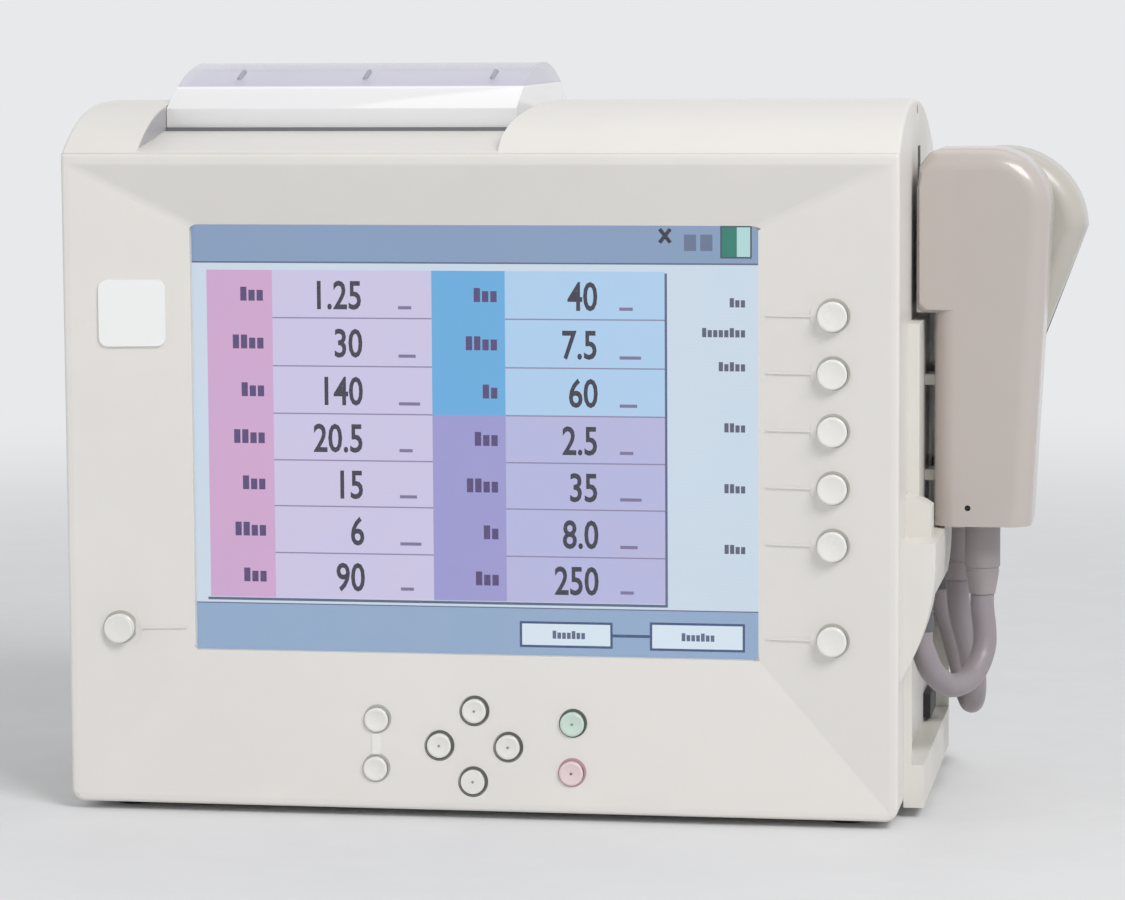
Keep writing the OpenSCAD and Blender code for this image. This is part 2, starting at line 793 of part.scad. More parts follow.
module case_screws() place() color([0.35, 0.35, 0.36]) {
  for (p = rear_screw_places()) {
    bar_y(p[0], p[1], rear_y0, body_d - screw_head_t, screw_r);
    difference() {
      bar_y(p[0], p[1], body_d - screw_head_t, body_d - 0.4, screw_head_r);
      span([p[0] - 0.6, body_d - 1.2, p[1] - screw_head_r + 0.8],
        [p[0] + 0.6, body_d, p[1] + screw_head_r - 0.8]);
    }
  }
  bar_x(half_w - wall, half_w - 1, arch_crest + 7, arch_top - 5.5, screw_r);
}

module rear_panel() place() color([0.72, 0.73, 0.74]) {
  difference() {
    union() {
      span([-rear_open_x - rear_lap, rear_y0, rear_open_low - rear_lap],
        [rear_open_x + rear_lap, rear_y1, rear_open_high + rear_lap]);
      for (x = [-1, 1], z = [-1, 1])
        bar_y(x * bracket_pitch / 2, bracket_z + z * bracket_pitch / 2,
          rear_y0 - bracket_boss_l, rear_y1, bracket_boss_r);
    }
    for (p = rear_screw_places())
      bar_y(p[0], p[1], rear_y0 - over, rear_y1 + over, screw_r);
    for (x = [-1, 1], z = [-1, 1])
      bar_y(x * bracket_pitch / 2, bracket_z + z * bracket_pitch / 2,
        rear_y0 - bracket_boss_l - over, rear_y1 + over, bracket_hole_r);
    for (i = [-fan_slots:fan_slots])
      let (off = i * fan_slot_pitch, z = fan_z + off,
        reach = sqrt(pow(fan_bore_r - fan_slot_inset, 2) - pow(off, 2)))
      span([fan_x - reach, rear_y0 - over, z - fan_slot_w / 2],
        [fan_x + reach, rear_y1 + over, z + fan_slot_w / 2]);
    for (i = [-speaker_slots:speaker_slots])
      let (z = speaker_z + i * speaker_slot_pitch)
      span([speaker_x - speaker_slot_l / 2, rear_y0 - over, z - speaker_slot_w / 2],
        [speaker_x + speaker_slot_l / 2, rear_y1 + over, z + speaker_slot_w / 2]);
    inlet_body_form(rear_y0 - over, rear_y1 + over);
    rocker_frame_form(rear_y0 - over, rear_y1 + over);
    for (i = [0, 1]) port_form(i, rear_y0 - over, rear_y1 + over);
    jack_form(rear_y0 - over, rear_y1 + over, 0);
  }
}

module chassis() place() color([0.66, 0.67, 0.68]) {
  x1 = half_w - wall - 1;
  difference() {
    union() {
      span([-x1, bezel_d + 2, chassis_z], [x1, rear_y0, deck_z]);
      for (s = [-1, 1])
        span([min(s * x1, s * (x1 - chassis_t)), bezel_d + 2, chassis_z],
          [max(s * x1, s * (x1 - chassis_t)), rear_y0, deck_z + chassis_side]);
    }
    for (i = [-5:5])
      span([i * 24 - 8, body_d - 36, chassis_z - over], [i * 24 + 8, body_d - 33, deck_z + over]);
  }
}

module rubber_feet() place() color([0.2, 0.2, 0.2]) {
  for (x = [-1, 1], y = [foot_inset, body_d - foot_inset])
    translate([x * (half_w - foot_inset), y, 0]) cylinder(d = foot_dia, h = foot_h);
}

module badge_plate() place() color([0.94, 0.94, 0.94]) {
  translate([badge_x, face_y(badge_x, badge_z), badge_z]) rotate([0, 0, left_slope])
    translate([0, -0.02, 0]) rotate([90, 0, 0]) linear_extrude(badge_t)
      round_rect(badge_w, badge_h, 3.5);
}

module display_window() place() color([0.55, 0.68, 0.78, 0.5]) {
  span([lcd_left - window_lap, window_y, lcd_low - window_lap],
    [lcd_right + window_lap, panel_y, lcd_high + window_lap]);
}

module display_panel() place() color([0.6, 0.65, 0.75]) {
  span([lcd_left - window_lap, panel_y, lcd_low - window_lap],
    [lcd_right + window_lap, frame_y0, lcd_high + window_lap]);
}

module display_frame() place() color([0.7, 0.71, 0.72]) {
  x0 = lcd_left - window_lap;
  x1 = lcd_right + window_lap;
  z0 = lcd_low - window_lap;
  z1 = lcd_high + window_lap;
  difference() {
    span([x0 - frame_t, window_y, z0 - frame_t], [x1 + frame_t, frame_y0 + frame_t, z1 + frame_t]);
    span([x0, window_y - over, z0], [x1, frame_y0, z1]);
    span([x0 + 25, frame_y0 - over, z0 + 25], [x1 - 25, frame_y0 + frame_t + over, z1 - 25]);
  }
  for (x = [x0 + 10, display_x, x1 - 10], z = [z0 + 10, z1 - 10])
    bar_y(x, z, frame_y0 + frame_t, board_y, 3);
}

// Key at a place on the front: flange behind the bezel, stem and domed face
module key(p, d, stand, tint) {
  top = key_seat_y + play - face_y(p[0], p[1]) + stand;
  r = d / 2;
  dome_r = (r * r + key_dome * key_dome) / (2 * key_dome);
  place() color(tint)
    translate([p[0], key_seat_y + play, p[1]]) rotate([90, 0, 0]) {
      translate([0, 0, -key_flange]) cylinder(r = r + key_flange_w, h = key_flange);
      translate([0, 0, -key_flange]) cylinder(r = r, h = top - key_dome + key_flange);
      intersection() {
        translate([0, 0, top - key_dome - 1]) cylinder(r = r, h = key_dome + 2);
        translate([0, 0, top - dome_r]) sphere(r = dome_r);
      }
    }
}

key_white = [0.93, 0.93, 0.91];
module soft_key_1() key(soft_key_places[0], soft_key_dia, key_stand, key_white);
module soft_key_2() key(soft_key_places[1], soft_key_dia, key_stand, key_white);
module soft_key_3() key(soft_key_places[2], soft_key_dia, key_stand, key_white);
module soft_key_4() key(soft_key_places[3], soft_key_dia, key_stand, key_white);
module soft_key_5() key(soft_key_places[4], soft_key_dia, key_stand, key_white);
module soft_key_6() key(soft_key_places[5], soft_key_dia, key_stand, key_white);
module left_key() key(left_key_place, soft_key_dia, key_stand, key_white);
module menu_key_upper() key(menu_upper_place, pad_key_dia, pad_stand, key_white);
module menu_key_lower() key(menu_lower_place, pad_key_dia, pad_stand, key_white);
module arrow_key_up() key(arrow_up_place, pad_key_dia, pad_stand, key_white);
module arrow_key_left() key(arrow_left_place, pad_key_dia, pad_stand, key_white);
module arrow_key_right() key(arrow_right_place, pad_key_dia, pad_stand, key_white);
module arrow_key_down() key(arrow_down_place, pad_key_dia, pad_stand, key_white);
module start_key() key(start_place, pad_key_dia, pad_stand, [0.72, 0.87, 0.78]);
module stop_key() key(stop_place, pad_key_dia, pad_stand, [0.93, 0.75, 0.75]);

module keypad_boards() place() color([0.15, 0.4, 0.25]) {
  e = keypad_edge;
  span([soft_key_x - e, keypad_y, low_key_z - e],
    [soft_key_x + keypad_post + 2, keypad_y + board_t, soft_key_top + e]);
  span([left_key_x - e, keypad_y, low_key_z - e],
    [left_key_x + keypad_post + 2, keypad_y + board_t, low_key_z + e]);
  span([pad_x - column_reach - e, keypad_y, pad_z - arrow_reach - 6],
    [pad_x + column_reach + e, keypad_y + board_t, pad_z + arrow_reach + 6]);
  for (p = concat(side_places, arrow_places, column_places))
    bar_y(p[0], p[1], keypad_y - switch_h, keypad_y, switch_r);
}

module main_board() place() color([0.12, 0.38, 0.22]) {
  x0 = lcd_left;
  x1 = lcd_right;
  difference() {
    span([x0, board_y, lcd_low], [x1, board_y + board_t, lcd_high]);
    for (x = [x0 + board_edge, x1 - board_edge], z = [display_z])
      bar_y(x, z, board_y - over, board_y + board_t + over, board_hole_r);
  }
  chip(display_x - chip_w / 2, display_z - chip_w / 2, chip_w, chip_w, chip_t);
  for (i = [0:3])
    chip(x0 + memory_x + i * chip_pitch, lcd_high - memory_inset - memory_l, memory_w,
      memory_l, memory_t);
  for (i = [0:2])
    chip(x1 - driver_x + i * chip_pitch, display_z + driver_z, driver_w, driver_w, driver_t);
  chip(x1 - header_edge - header_long, lcd_low + header_z, header_long, header_h, header_h);
  chip(x0 + board_edge, lcd_low + header_z, header_short, header_h, header_h);
}

// Chip or plug on the rear of the main board, from its lower left corner
module chip(x, z, w, h, t) {
  y1 = board_y + board_t;
  span([x, y1, z], [x + w, y1 + t, z + h]);
}

module power_supply() place() color([0.6, 0.61, 0.6]) {
  x0 = supply_x - supply_w / 2;
  x1 = supply_x + supply_w / 2;
  y1 = supply_y0 + supply_d;
  z = deck_z + supply_board_t;
  span([x0, supply_y0, deck_z], [x1, y1, z]);
  translate([x0 + supply_edge, supply_y0 + supply_edge, z])
    cube([transformer_w, transformer_d, transformer_h]);
  for (i = [1:3])
    translate([x1 - i * capacitor_pitch, supply_y0 + capacitor_pitch, z])
      cylinder(d = capacitor_dia, h = capacitor_h);
  for (i = [1:fin_count])
    translate([x1 - i * fin_pitch, y1 - fin_inset - fin_d, z]) cube([fin_t, fin_d, fin_h]);
}

module battery_pack() place() color([0.25, 0.27, 0.3]) {
  x0 = battery_x - battery_w / 2;
  x1 = battery_x + battery_w / 2;
  y0 = supply_y0;
  difference() {
    span([x0, y0, deck_z], [x1, y0 + battery_d, deck_z + battery_h]);
    for (i = [1:3])
      let (x = x0 + i * battery_w / 4, z = deck_z + battery_h)
      span([x - battery_groove / 2, y0 - over, z - battery_groove],
        [x + battery_groove / 2, y0 + battery_d + over, z + over]);
  }
  translate([x1, y0 + battery_plug_inset,
    deck_z + battery_h - battery_plug_drop - battery_plug_h])
    cube([battery_plug_l, battery_plug_w, battery_plug_h]);
}

module fan_frame() place() color([0.13, 0.13, 0.14]) {
  y0 = rear_y0 - fan_d;
  difference() {
    along_y(y0, rear_y0) translate([fan_x, fan_z]) round_rect(fan_w, fan_w, fan_corner);
    bar_y(fan_x, fan_z, y0 - over, rear_y0 + over, fan_bore_r);
  }
  bar_y(fan_x, fan_z, rear_y0 - fan_strut_t, rear_y0, fan_hub_r);
  for (a = [0:3])
    translate([fan_x, 0, fan_z]) rotate([0, 45 + a * 90, 0])
      span([fan_hub_r - over, rear_y0 - fan_strut_t, -fan_strut_w / 2],
        [fan_bore_r + over, rear_y0, fan_strut_w / 2]);
  bar_y(fan_x, fan_z, y0 + fan_strut_t, rear_y0 - fan_strut_t, fan_pin_r);
}

module fan_rotor() place() color([0.16, 0.16, 0.17]) {
  y0 = rear_y0 - fan_d + 1;
  y1 = rear_y0 - fan_strut_t - seat_gap;
  difference() {
    union() {
      bar_y(fan_x, fan_z, y0, y1, fan_hub_r);
      for (a = [1:fan_blades])
        translate([fan_x, (y0 + y1) / 2, fan_z]) rotate([0, a * 360 / fan_blades, 0])
          translate([fan_hub_r - 1, 0, 0]) rotate([fan_blade_turn, 0, 0])
            translate([0, -fan_blade_t / 2, -fan_blade_w / 2])
              cube([fan_bore_r - fan_hub_r - 1.5, fan_blade_t, fan_blade_w]);
    }
    bar_y(fan_x, fan_z, y0 + 1 - seat_gap, y1 + over, fan_pin_r + bore_gap);
  }
}

module speaker() place() color([0.1, 0.1, 0.11]) {
  difference() {
    union() {
      bar_y(speaker_x, speaker_z, rear_y0 - speaker_flange_t, rear_y0, speaker_r);
      bar_y(speaker_x, speaker_z, rear_y0 - speaker_l, rear_y0 - speaker_flange_t,
        speaker_r * 0.6);
    }
    bar_y(speaker_x, speaker_z, rear_y0 - speaker_cone_d, rear_y0 + over,
      speaker_r - speaker_rim);
  }
}

module inlet_body_form(y0, y1) {
  span([inlet_x - inlet_w / 2 - 1.4, y0, inlet_z - inlet_h / 2 - 1.4],
    [inlet_x + inlet_w / 2 + 1.4, y1, inlet_z + inlet_h / 2 + 1.4]);
}

module rocker_frame_form(y0, y1) {
  span([switch_x - rocker_w / 2 - 1.6, y0, inlet_z - rocker_l / 2 - 1.6],
    [switch_x + rocker_w / 2 + 1.6, y1, inlet_z + rocker_l / 2 + 1.6]);
}

module power_inlet() place() color([0.12, 0.12, 0.13]) {
  y1 = rear_y1 + inlet_flange_t;
  difference() {
    union() {
      inlet_body_form(rear_y1 - inlet_body_l, rear_y1);
      span([inlet_x - inlet_w / 2 - inlet_flange, rear_y1, inlet_z - inlet_h / 2 - inlet_flange],
        [inlet_x + inlet_w / 2 + inlet_flange, y1, inlet_z + inlet_h / 2 + inlet_flange]);
    }
    span([inlet_x - inlet_w / 2, y1 - inlet_depth, inlet_z - inlet_h / 2],
      [inlet_x + inlet_w / 2, y1 + over, inlet_z + inlet_h / 2]);
  }
  for (i = [-1, 0, 1])
    span([inlet_x + i * 7 - 1, y1 - inlet_depth, inlet_z - 2 + abs(i) * -2 + 1],
      [inlet_x + i * 7 + 1, y1 - inlet_depth + 10, inlet_z + 2 + abs(i) * -2 + 1]);
  difference() {
    union() {
      rocker_frame_form(rear_y1 - 14, rear_y1);
      span([switch_x - rocker_w / 2 - 3, rear_y1, inlet_z - rocker_l / 2 - 3],
        [switch_x + rocker_w / 2 + 3, rear_y1 + 1, inlet_z + rocker_l / 2 + 3]);
    }
    span([switch_x - rocker_w / 2 - seat_gap, rear_y1 - 12, inlet_z - rocker_l / 2 - seat_gap],
      [switch_x + rocker_w / 2 + seat_gap, rear_y1 + 2, inlet_z + rocker_l / 2 + seat_gap]);
    bar_x(switch_x - rocker_w / 2 - 1.4, switch_x + rocker_w / 2 + 1.4, rocker_y, inlet_z,
      rocker_pin_r + bore_gap);
  }
}

module power_switch() place() color([0.1, 0.1, 0.1]) {
  lip = rocker_l / 2 - 0.6;
  translate([0, rocker_y, inlet_z]) rotate([-rocker_tilt, 0, 0]) {
    along_x(switch_x - rocker_w / 2, switch_x + rocker_w / 2)
      polygon([[-5, -3], [0, -lip], [3, -lip], [1.4, 0], [3, lip], [0, lip], [-5, 3]]);
    bar_x(switch_x - rocker_w / 2 - 1, switch_x + rocker_w / 2 + 1, 0, 0, rocker_pin_r);
  }
}

module port_form(i, y0, y1) {
  along_y(y0, y1) translate([port_x0 + i * port_pitch, port_z]) round_rect(20, 10, 3);
}

module jack_form(y0, y1, grow) {
  span([jack_x - jack_w / 2 - 2 - grow, y0, port_z - jack_h / 2 - 2 - grow],
    [jack_x + jack_w / 2 + 2 + grow, y1, port_z + jack_h / 2 + 2 + grow]);
}

module data_ports() place() color([0.55, 0.56, 0.58]) {
  for (i = [0, 1]) {
    port_form(i, rear_y0 - port_body_d, rear_y1 + port_lip);
    translate([port_x0 + i * port_pitch - port_flange_w / 2, rear_y0 - port_flange_t,
      port_z - port_flange_h / 2])
      cube([port_flange_w, port_flange_t, port_flange_h]);
  }
  difference() {
    union() {
      jack_form(rear_y1 - 16, rear_y1, 0);
      jack_form(rear_y1, rear_y1 + 1, 1);
    }
    span([jack_x - jack_w / 2, rear_y1 + 1 - jack_d, port_z - jack_h / 2],
      [jack_x + jack_w / 2, rear_y1 + 2, port_z + jack_h / 2]);
  }
}

// Roof line of the cover, lowered by its thickness for the inside
function roof_line(y0, y1, drop) =
  [for (i = [0:24]) let (y = mix(y0, y1, i / 24)) [y, cover_z(y) - drop]];

module printer_cover() place() color([0.8, 0.8, 0.88, 0.4]) {
  difference() {
    union() {
      difference() {
        along_x(cover_x0, cover_x1) polygon(concat([[cover_y0, cover_base]],
          roof_line(cover_y0, cover_y1, 0), [[cover_y1, cover_base]]));
        along_x(cover_x0 + cover_t, cover_x1 - cover_t) polygon(concat(
          [[cover_y0 + cover_t, cover_base - over]],
          roof_line(cover_y0 + cover_t, cover_y1 - cover_t, cover_t),
          [[cover_y1 - cover_t, cover_base - over]]));
        span([cover_x0 + cover_t, cover_y1 - cover_t - over, cover_base - over],
          [cover_x1 - cover_t, cover_y1 + over, hinge_z + lug_r + 1]);
      }
      for (x = hinge_places)
        along_x(x - knuckle_w / 2, x + knuckle_w / 2) union() {
          translate([hinge_y, hinge_z]) circle(r = lug_r);
          translate([cover_y1 - cover_t, hinge_z])
            square([min(cover_t, hinge_y + lug_r - cover_y1 + cover_t), lug_r + 2]);
        }
    }
    for (x = hinge_places)
      bar_x(x - knuckle_w / 2 - 0.1, x + knuckle_w / 2 + 0.1, hinge_y, hinge_z,
        hinge_pin_r + bore_gap);
  }
}

module cover_pins() place() color([0.75, 0.75, 0.76]) {
  for (x = hinge_places)
    bar_x(x - lug_shift - lug_w, x + lug_shift + lug_w, hinge_y, hinge_z, hinge_pin_r);
}

module paper_tub() place() color([0.86, 0.86, 0.85]) {
  difference() {
    union() {
      span([bay_left, tub_y0, tub_floor - tub_t], [bay_right, tub_y1, tub_rim]);
    }
    span([bay_left + tub_t, tub_y0 + tub_t, tub_floor],
      [bay_right - tub_t, tub_y1 - tub_t, tub_rim + over]);
    span([bay_left + tub_t, tub_y0 - over, roll_z - roll_r + 8],
      [bay_right - tub_t, tub_y0 + tub_t + over, tub_rim + over]);
    span([bay_left - over, tub_y1 - tub_t - over, top_z - seat_gap],
      [bay_right + over, tub_y1 + over, tub_rim + over]);
    along_x(bay_left + tub_t - 1.5, bay_right - tub_t + 1.5) union() {
      translate([roll_y, roll_z]) circle(r = core_r - 0.5);
      translate([roll_y - core_r + 0.5, roll_z]) square([2 * core_r - 1, tub_rim]);
    }
  }
}

module paper_roll() place() color([0.97, 0.97, 0.96]) {
  difference() {
    bar_x(paper_x0, paper_x1, roll_y, roll_z, roll_r);
    bar_x(paper_x0 - over, paper_x1 + over, roll_y, roll_z, core_r);
  }
}

module paper_spindle() place() color([0.5, 0.5, 0.52]) {
  bar_x(bay_left + tub_t, bay_right - tub_t, roll_y, roll_z, core_r - bore_gap);
  for (s = [-1, 1])
    bar_x(min(s * (bay_right - bay_left) / 2 + bay_mid - s * (tub_t - 1.5),
        s * (bay_right - bay_left) / 2 + bay_mid - s * tub_t),
      max(s * (bay_right - bay_left) / 2 + bay_mid - s * (tub_t - 1.5),
        s * (bay_right - bay_left) / 2 + bay_mid - s * tub_t),
      roll_y, roll_z, core_r - 0.5);
}

module paper_strip() place() color([0.97, 0.97, 0.96]) {
  near = paper_side(0);
  far = paper_side(paper_t);
  along_x(paper_x0, paper_x1) polygon(concat(near,
    [for (i = [len(far) - 1:-1:0]) far[i]]));
}

// Outline of an involute spur gear with its tooth middle on the local +X axis
function gear_outline(teeth, backlash) =
  let (rp = gear_module * teeth / 2, rb = rp * cos(20), ra = rp + gear_module,
    rf = max(rp - 1.2 * gear_module, 0.5), pitch = 360 / teeth,
    half_tooth = 90 / teeth - backlash / rp * 180 / PI / 2,
    inv_p = tan(20) - 20 * PI / 180)
  [for (i = [0:teeth - 1], s = [-1, 1], k = [0:4])
    let (kk = s < 0 ? k : 4 - k,
      r = kk == 0 ? rf : mix(max(rb, rf), ra, (kk - 1) / 3),
      rr = max(r, rb), a_r = acos(rb / rr),
      inv_r = tan(a_r) - a_r * PI / 180,
      turn = half_tooth + (inv_p - inv_r) * 180 / PI)
    round_point(0, 0, r, i * pitch + s * max(turn, 0.4))];

module platen_roller() place() color([0.18, 0.18, 0.19]) {
  bar_x(paper_x0 - 1, paper_x1 + 1, platen_y, platen_z, platen_r);
  bar_x(head_left + 0.2, gear_x0 + gear_w, platen_y, platen_z, platen_shaft_r);
  translate([0, platen_y, platen_z]) along_x(gear_x0, gear_x0 + gear_w)
    rotate(-90) polygon(gear_outline(gear_teeth, 0.06));
}

module motor_pinion() place() color([0.85, 0.8, 0.6]) {
  translate([0, platen_y, pinion_z]) along_x(gear_x0, gear_x0 + gear_w)
    rotate(90 + 180 / pinion_teeth) polygon(gear_outline(pinion_teeth, 0.06));
  bar_x(gear_x0, motor_plate_x + head_plate_t + motor_shaft_l, platen_y, pinion_z,
    motor_shaft_r);
}

module printer_motor() place() color([0.45, 0.45, 0.47]) {
  x0 = motor_plate_x + head_plate_t;
  difference() {
    bar_x(x0, x0 + motor_l, platen_y, pinion_z, motor_dia / 2);
    bar_x(x0 - over, x0 + motor_bore_d, platen_y, pinion_z, motor_shaft_r + bore_gap);
  }
  bar_x(x0 + motor_l, x0 + motor_l + motor_boss_l, platen_y, pinion_z, motor_boss_r);
}

module print_head() place() color([0.5, 0.51, 0.53]) {
  y0 = slot_y - head_reach;
  y1 = tub_y0;
  z1 = platen_z + head_lip;
  bar_face = platen_y - platen_r - paper_gap - paper_t - paper_gap;
  difference() {
    union() {
      for (x = [head_left, head_right])
        span([x, y0, head_base_z], [x + head_plate_t, y1, z1]);
      span([motor_plate_x, y0, head_base_z],
        [motor_plate_x + head_plate_t, y1, pinion_z + motor_dia / 2]);
      span([head_left, y0, head_base_z],
        [motor_plate_x + head_plate_t, y1, head_base_z + head_plate_t]);
      span([head_left, y0, platen_z - head_bar_drop], [head_right + head_plate_t, bar_face, z1]);
    }
    bar_x(head_left - over, head_right + 2, platen_y, platen_z, platen_shaft_r + bore_gap);
    bar_x(motor_plate_x - over, motor_plate_x + head_plate_t + over, platen_y, pinion_z,
      motor_shaft_r + 1);
  }
}

module tear_bar() place() color([0.6, 0.6, 0.62]) {
  teeth = 60;
  x0 = bay_left + 1;
  step = (bay_right - bay_left - 2) / teeth;
  z0 = ramp_z(slot_y) - wall;
  z1 = ramp_z(slot_y);
  along_y(slot_y, slot_y + 0.6) polygon(concat([[x0, z0]],
    [for (i = [0:teeth - 1], k = [0, 1]) [x0 + (i + k * 0.5) * step, z1 + k * 0.8]],
    [[x0 + teeth * step, z1], [x0 + teeth * step, z0]]));
}

module side_dock() place() color([0.87, 0.87, 0.85]) {
  difference() {
    union() {
      intersection() {
        along_y(dock_y0, dock_y1) skirt_outline();
        span([side_x, dock_y0, skirt_under], [side_x + skirt_out, dock_y1, skirt_top]);
      }
      intersection() {
        along_y(dock_y0, dock_y0 + dock_rib_t) skirt_outline();
        span([side_x, dock_y0, foot_h], [side_x + skirt_out, dock_y1, skirt_top]);
      }
      span([side_x, dock_y0, foot_h + 1],
        [side_x + dock_rib_t, dock_y0 + dock_rib_t, skirt_top]);
      span([side_x, dock_y1 - dock_rib_t, foot_h + 1],
        [side_x + dock_foot_out, dock_y1, skirt_top]);
      span([side_x, dock_y0, foot_h + 1], [side_x + dock_foot_out, dock_y1, dock_foot_h]);
      span([side_x, dock_y0 + 12, skirt_top - over], [side_x + dock_t, module_b_y1 + 8, dock_top]);
      along_y(dock_y0, dock_y0 + 12) intersection() {
        translate([side_x, skirt_top - over]) square([10, 17]);
        translate([side_x, skirt_top - over]) circle(r = 16);
      }
      for (y = [module_a_mid, module_b_mid], z = hook_places_z) {
        span([side_x + dock_t - over, y - hook_w / 2, z],
          [hook_in + hook_lip_t, y + hook_w / 2, z + hook_arm_h]);
        span([hook_in, y - hook_w / 2, z],
          [hook_in + hook_lip_t, y + hook_w / 2, z + hook_arm_h + hook_lip]);
      }
    }
    for (y = [plug_a_y, plug_b_y])
      translate([plug_x, y, skirt_under - over]) cylinder(r = socket_r, h = socket_d + over);
    span([hang_x - tail_gap, module_b_y - tail_gap, skirt_under - over],
      [reach_right, module_b_y1 + module_back_t + tail_gap, skirt_top + over]);
  }
}

module cable_sockets() place() color([0.08, 0.08, 0.09]) {
  for (y = [plug_a_y, plug_b_y])
    difference() {
      translate([plug_x, y, plug_top]) cylinder(r = socket_r, h = socket_d + 1);
      translate([plug_x, y, plug_top - over]) cylinder(r = plug_dia / 2 - 1.5, h = 7);
    }
}

// Ring of the front module's outline at a depth, drawn in from its full size
function module_a_ring(y, inset) =
  let (right = hang_x + module_a_w, low = module_a_low - 14, r2 = module_edge + 1,
    low_right = right - module_a_taper)
  concat(
    [for (i = [0:8]) let (a = mix(-4, 90, i / 8))
      [right - module_a_r + (module_a_r - inset) * cos(a), y,
        module_a_top - module_a_r + (module_a_r - inset) * sin(a)]],
    [for (i = [0:5]) let (a = mix(90, 180, i / 5))
      [hang_x + r2 + (r2 - inset) * cos(a), y, module_a_top - r2 + (r2 - inset) * sin(a)]],
    [for (i = [0:5]) let (a = mix(180, 270, i / 5))
      [hang_x + r2 + (r2 - inset) * cos(a), y, low + r2 + (r2 - inset) * sin(a)]],
    [for (i = [0:5]) let (a = mix(270, 356, i / 5))
      [low_right - r2 + (r2 - inset) * cos(a), y, low + r2 + (r2 - inset) * sin(a)]]);

// Ring of the rear module's outline at a depth, drawn in from its full size
function module_b_ring(y, inset) =
  let (hx = side_x + module_b_out, lx = hang_x + 3.5, lz = module_b_low + 6,
    tilt = atan2(hx - lx, module_b_z - lz),
    open = asin((module_b_r - module_b_low_r) / norm([hx - lx, module_b_z - lz])))
  concat(
    [for (i = [0:20]) let (a = mix(-tilt + open, 180 - tilt - open, i / 20))
      [hx + (module_b_r - inset) * cos(a), y, module_b_z + (module_b_r - inset) * sin(a)]],
    [for (i = [0:8]) let (a = mix(180 - tilt - open, 360 - tilt + open, i / 8))
      [lx + (module_b_low_r - inset) * cos(a), y, lz + (module_b_low_r - inset) * sin(a)]]);

// Depths and insets of a shell with a round front edge, from its back to its front
edge_steps = 5;
function levels(y0, y1, inset) = concat([[y1, inset]],
  [for (i = [0:edge_steps]) let (a = 90 * i / edge_steps, r = module_edge - inset)
    [y0 + inset + r * (1 - sin(a)), inset + r * (1 - cos(a))]]);

// Solid of a module: its lofted form, cut flat below and on its hanging side
module module_a_form(y0, y1, inset) {
  difference() {
    skin([for (l = levels(y0, y1, inset)) module_a_ring(l[0], l[1])]);
    span([side_x, y0 - over, 0], [reach_right, y1 + over, module_a_low + inset]);
  }
}

module module_b_form(y0, y1, inset) {
  difference() {
    skin([for (l = levels(y0, y1, inset)) module_b_ring(l[0], l[1])]);
    span([0, y0 - over, 0], [reach_right, y1 + over, module_b_low + inset]);
    span([0, y0 - over, 0], [hang_x + inset, y1 + over, dock_top + 3 + inset]);
    span([0, y0 - over, 0], [module_ear_x + inset, y1 + over, module_a_top + over]);
  }
}

// Slots in a module's hanging side, long enough to lift it off the hooks
module hook_slots(y) {
  for (z = hook_places_z)
    span([hang_x - over, y - hook_w / 2 - seat_gap, z - module_lift - seat_gap],
      [hang_x + module_t + 0.2, y + hook_w / 2 + seat_gap, z + hook_arm_h + seat_gap]);
}

module module_a_shell() place() color([0.86, 0.84, 0.83]) {
  difference() {
    union() {
      module_a_form(module_a_y, module_a_y1, 0);
      span([module_ear_x, module_a_y + 3, module_ear_low],
        [hang_x + module_edge, module_a_y1, module_ear_high]);
    }
    module_a_form(module_a_y, module_a_y1 + over, module_t);
    hook_slots(module_a_mid);
    translate([relief_a_x, module_a_mid, module_a_low - over])
      cylinder(r = relief_dia / 2 - relief_wall, h = module_t + 2 * over);
    bar_y(hang_x + 13, module_a_low + 7, module_a_y - over, module_a_y + 1, 1.1);
  }
}

module module_a_back() place() color([0.8, 0.79, 0.78]) {
  difference() {
    union() {
      difference() {
        skin([module_a_ring(module_a_y1 + module_back_t, 1), module_a_ring(module_a_y1, 0)]);
        span([side_x, module_a_y1 - over, 0], [reach_right, module_b_y, module_a_low]);
      }
      for (z = [module_a_low + 30, module_a_top - 30])
        bar_y(hang_x + 24, z, module_a_y1 - module_post_l, module_a_y1, module_post_r);
    }
    for (z = [module_a_low + 12, module_a_top - 20])
      bar_y(hang_x + 20, z, module_a_y1 + module_back_t - module_screw_d, module_b_y,
        module_screw_r);
  }
}

module module_a_board() place() color([0.12, 0.36, 0.22]) {
  y1 = module_a_y1 - module_post_l;
  x0 = hang_x + module_a_board_x;
  z0 = module_a_low + module_a_board_z;
  span([x0, y1 - board_t, z0], [x0 + module_a_board_w, y1, module_a_top - module_a_board_drop]);
  translate([x0 + module_chip_x, y1 - board_t - module_chip_t, z0 + module_chip_z])
    cube([module_chip_w, module_chip_t, module_chip_h]);
}

// Strain relief: sleeve with a waist, and a neck in the shell's floor
module relief(x, y, z1, len, d) {
  place() color([0.62, 0.61, 0.62]) {
    translate([x, y, z1 - 0.62 * len]) cylinder(d = d, h = 0.62 * len);
    translate([x, y, z1 - 0.7 * len]) cylinder(d = d - 1, h = 0.1 * len);
    translate([x, y, z1 - len]) cylinder(d1 = cable_dia + 0.8, d2 = d - 0.6, h = 0.32 * len);
    translate([x, y, z1 - over]) cylinder(r = d / 2 - relief_wall, h = over + module_t);
  }
}

module module_a_relief()
  relief(relief_a_x, module_a_mid, module_a_low, relief_a_l, relief_dia);
module module_b_relief()
  relief(relief_b_x, module_b_mid, module_b_low, relief_b_l, relief_b_dia);

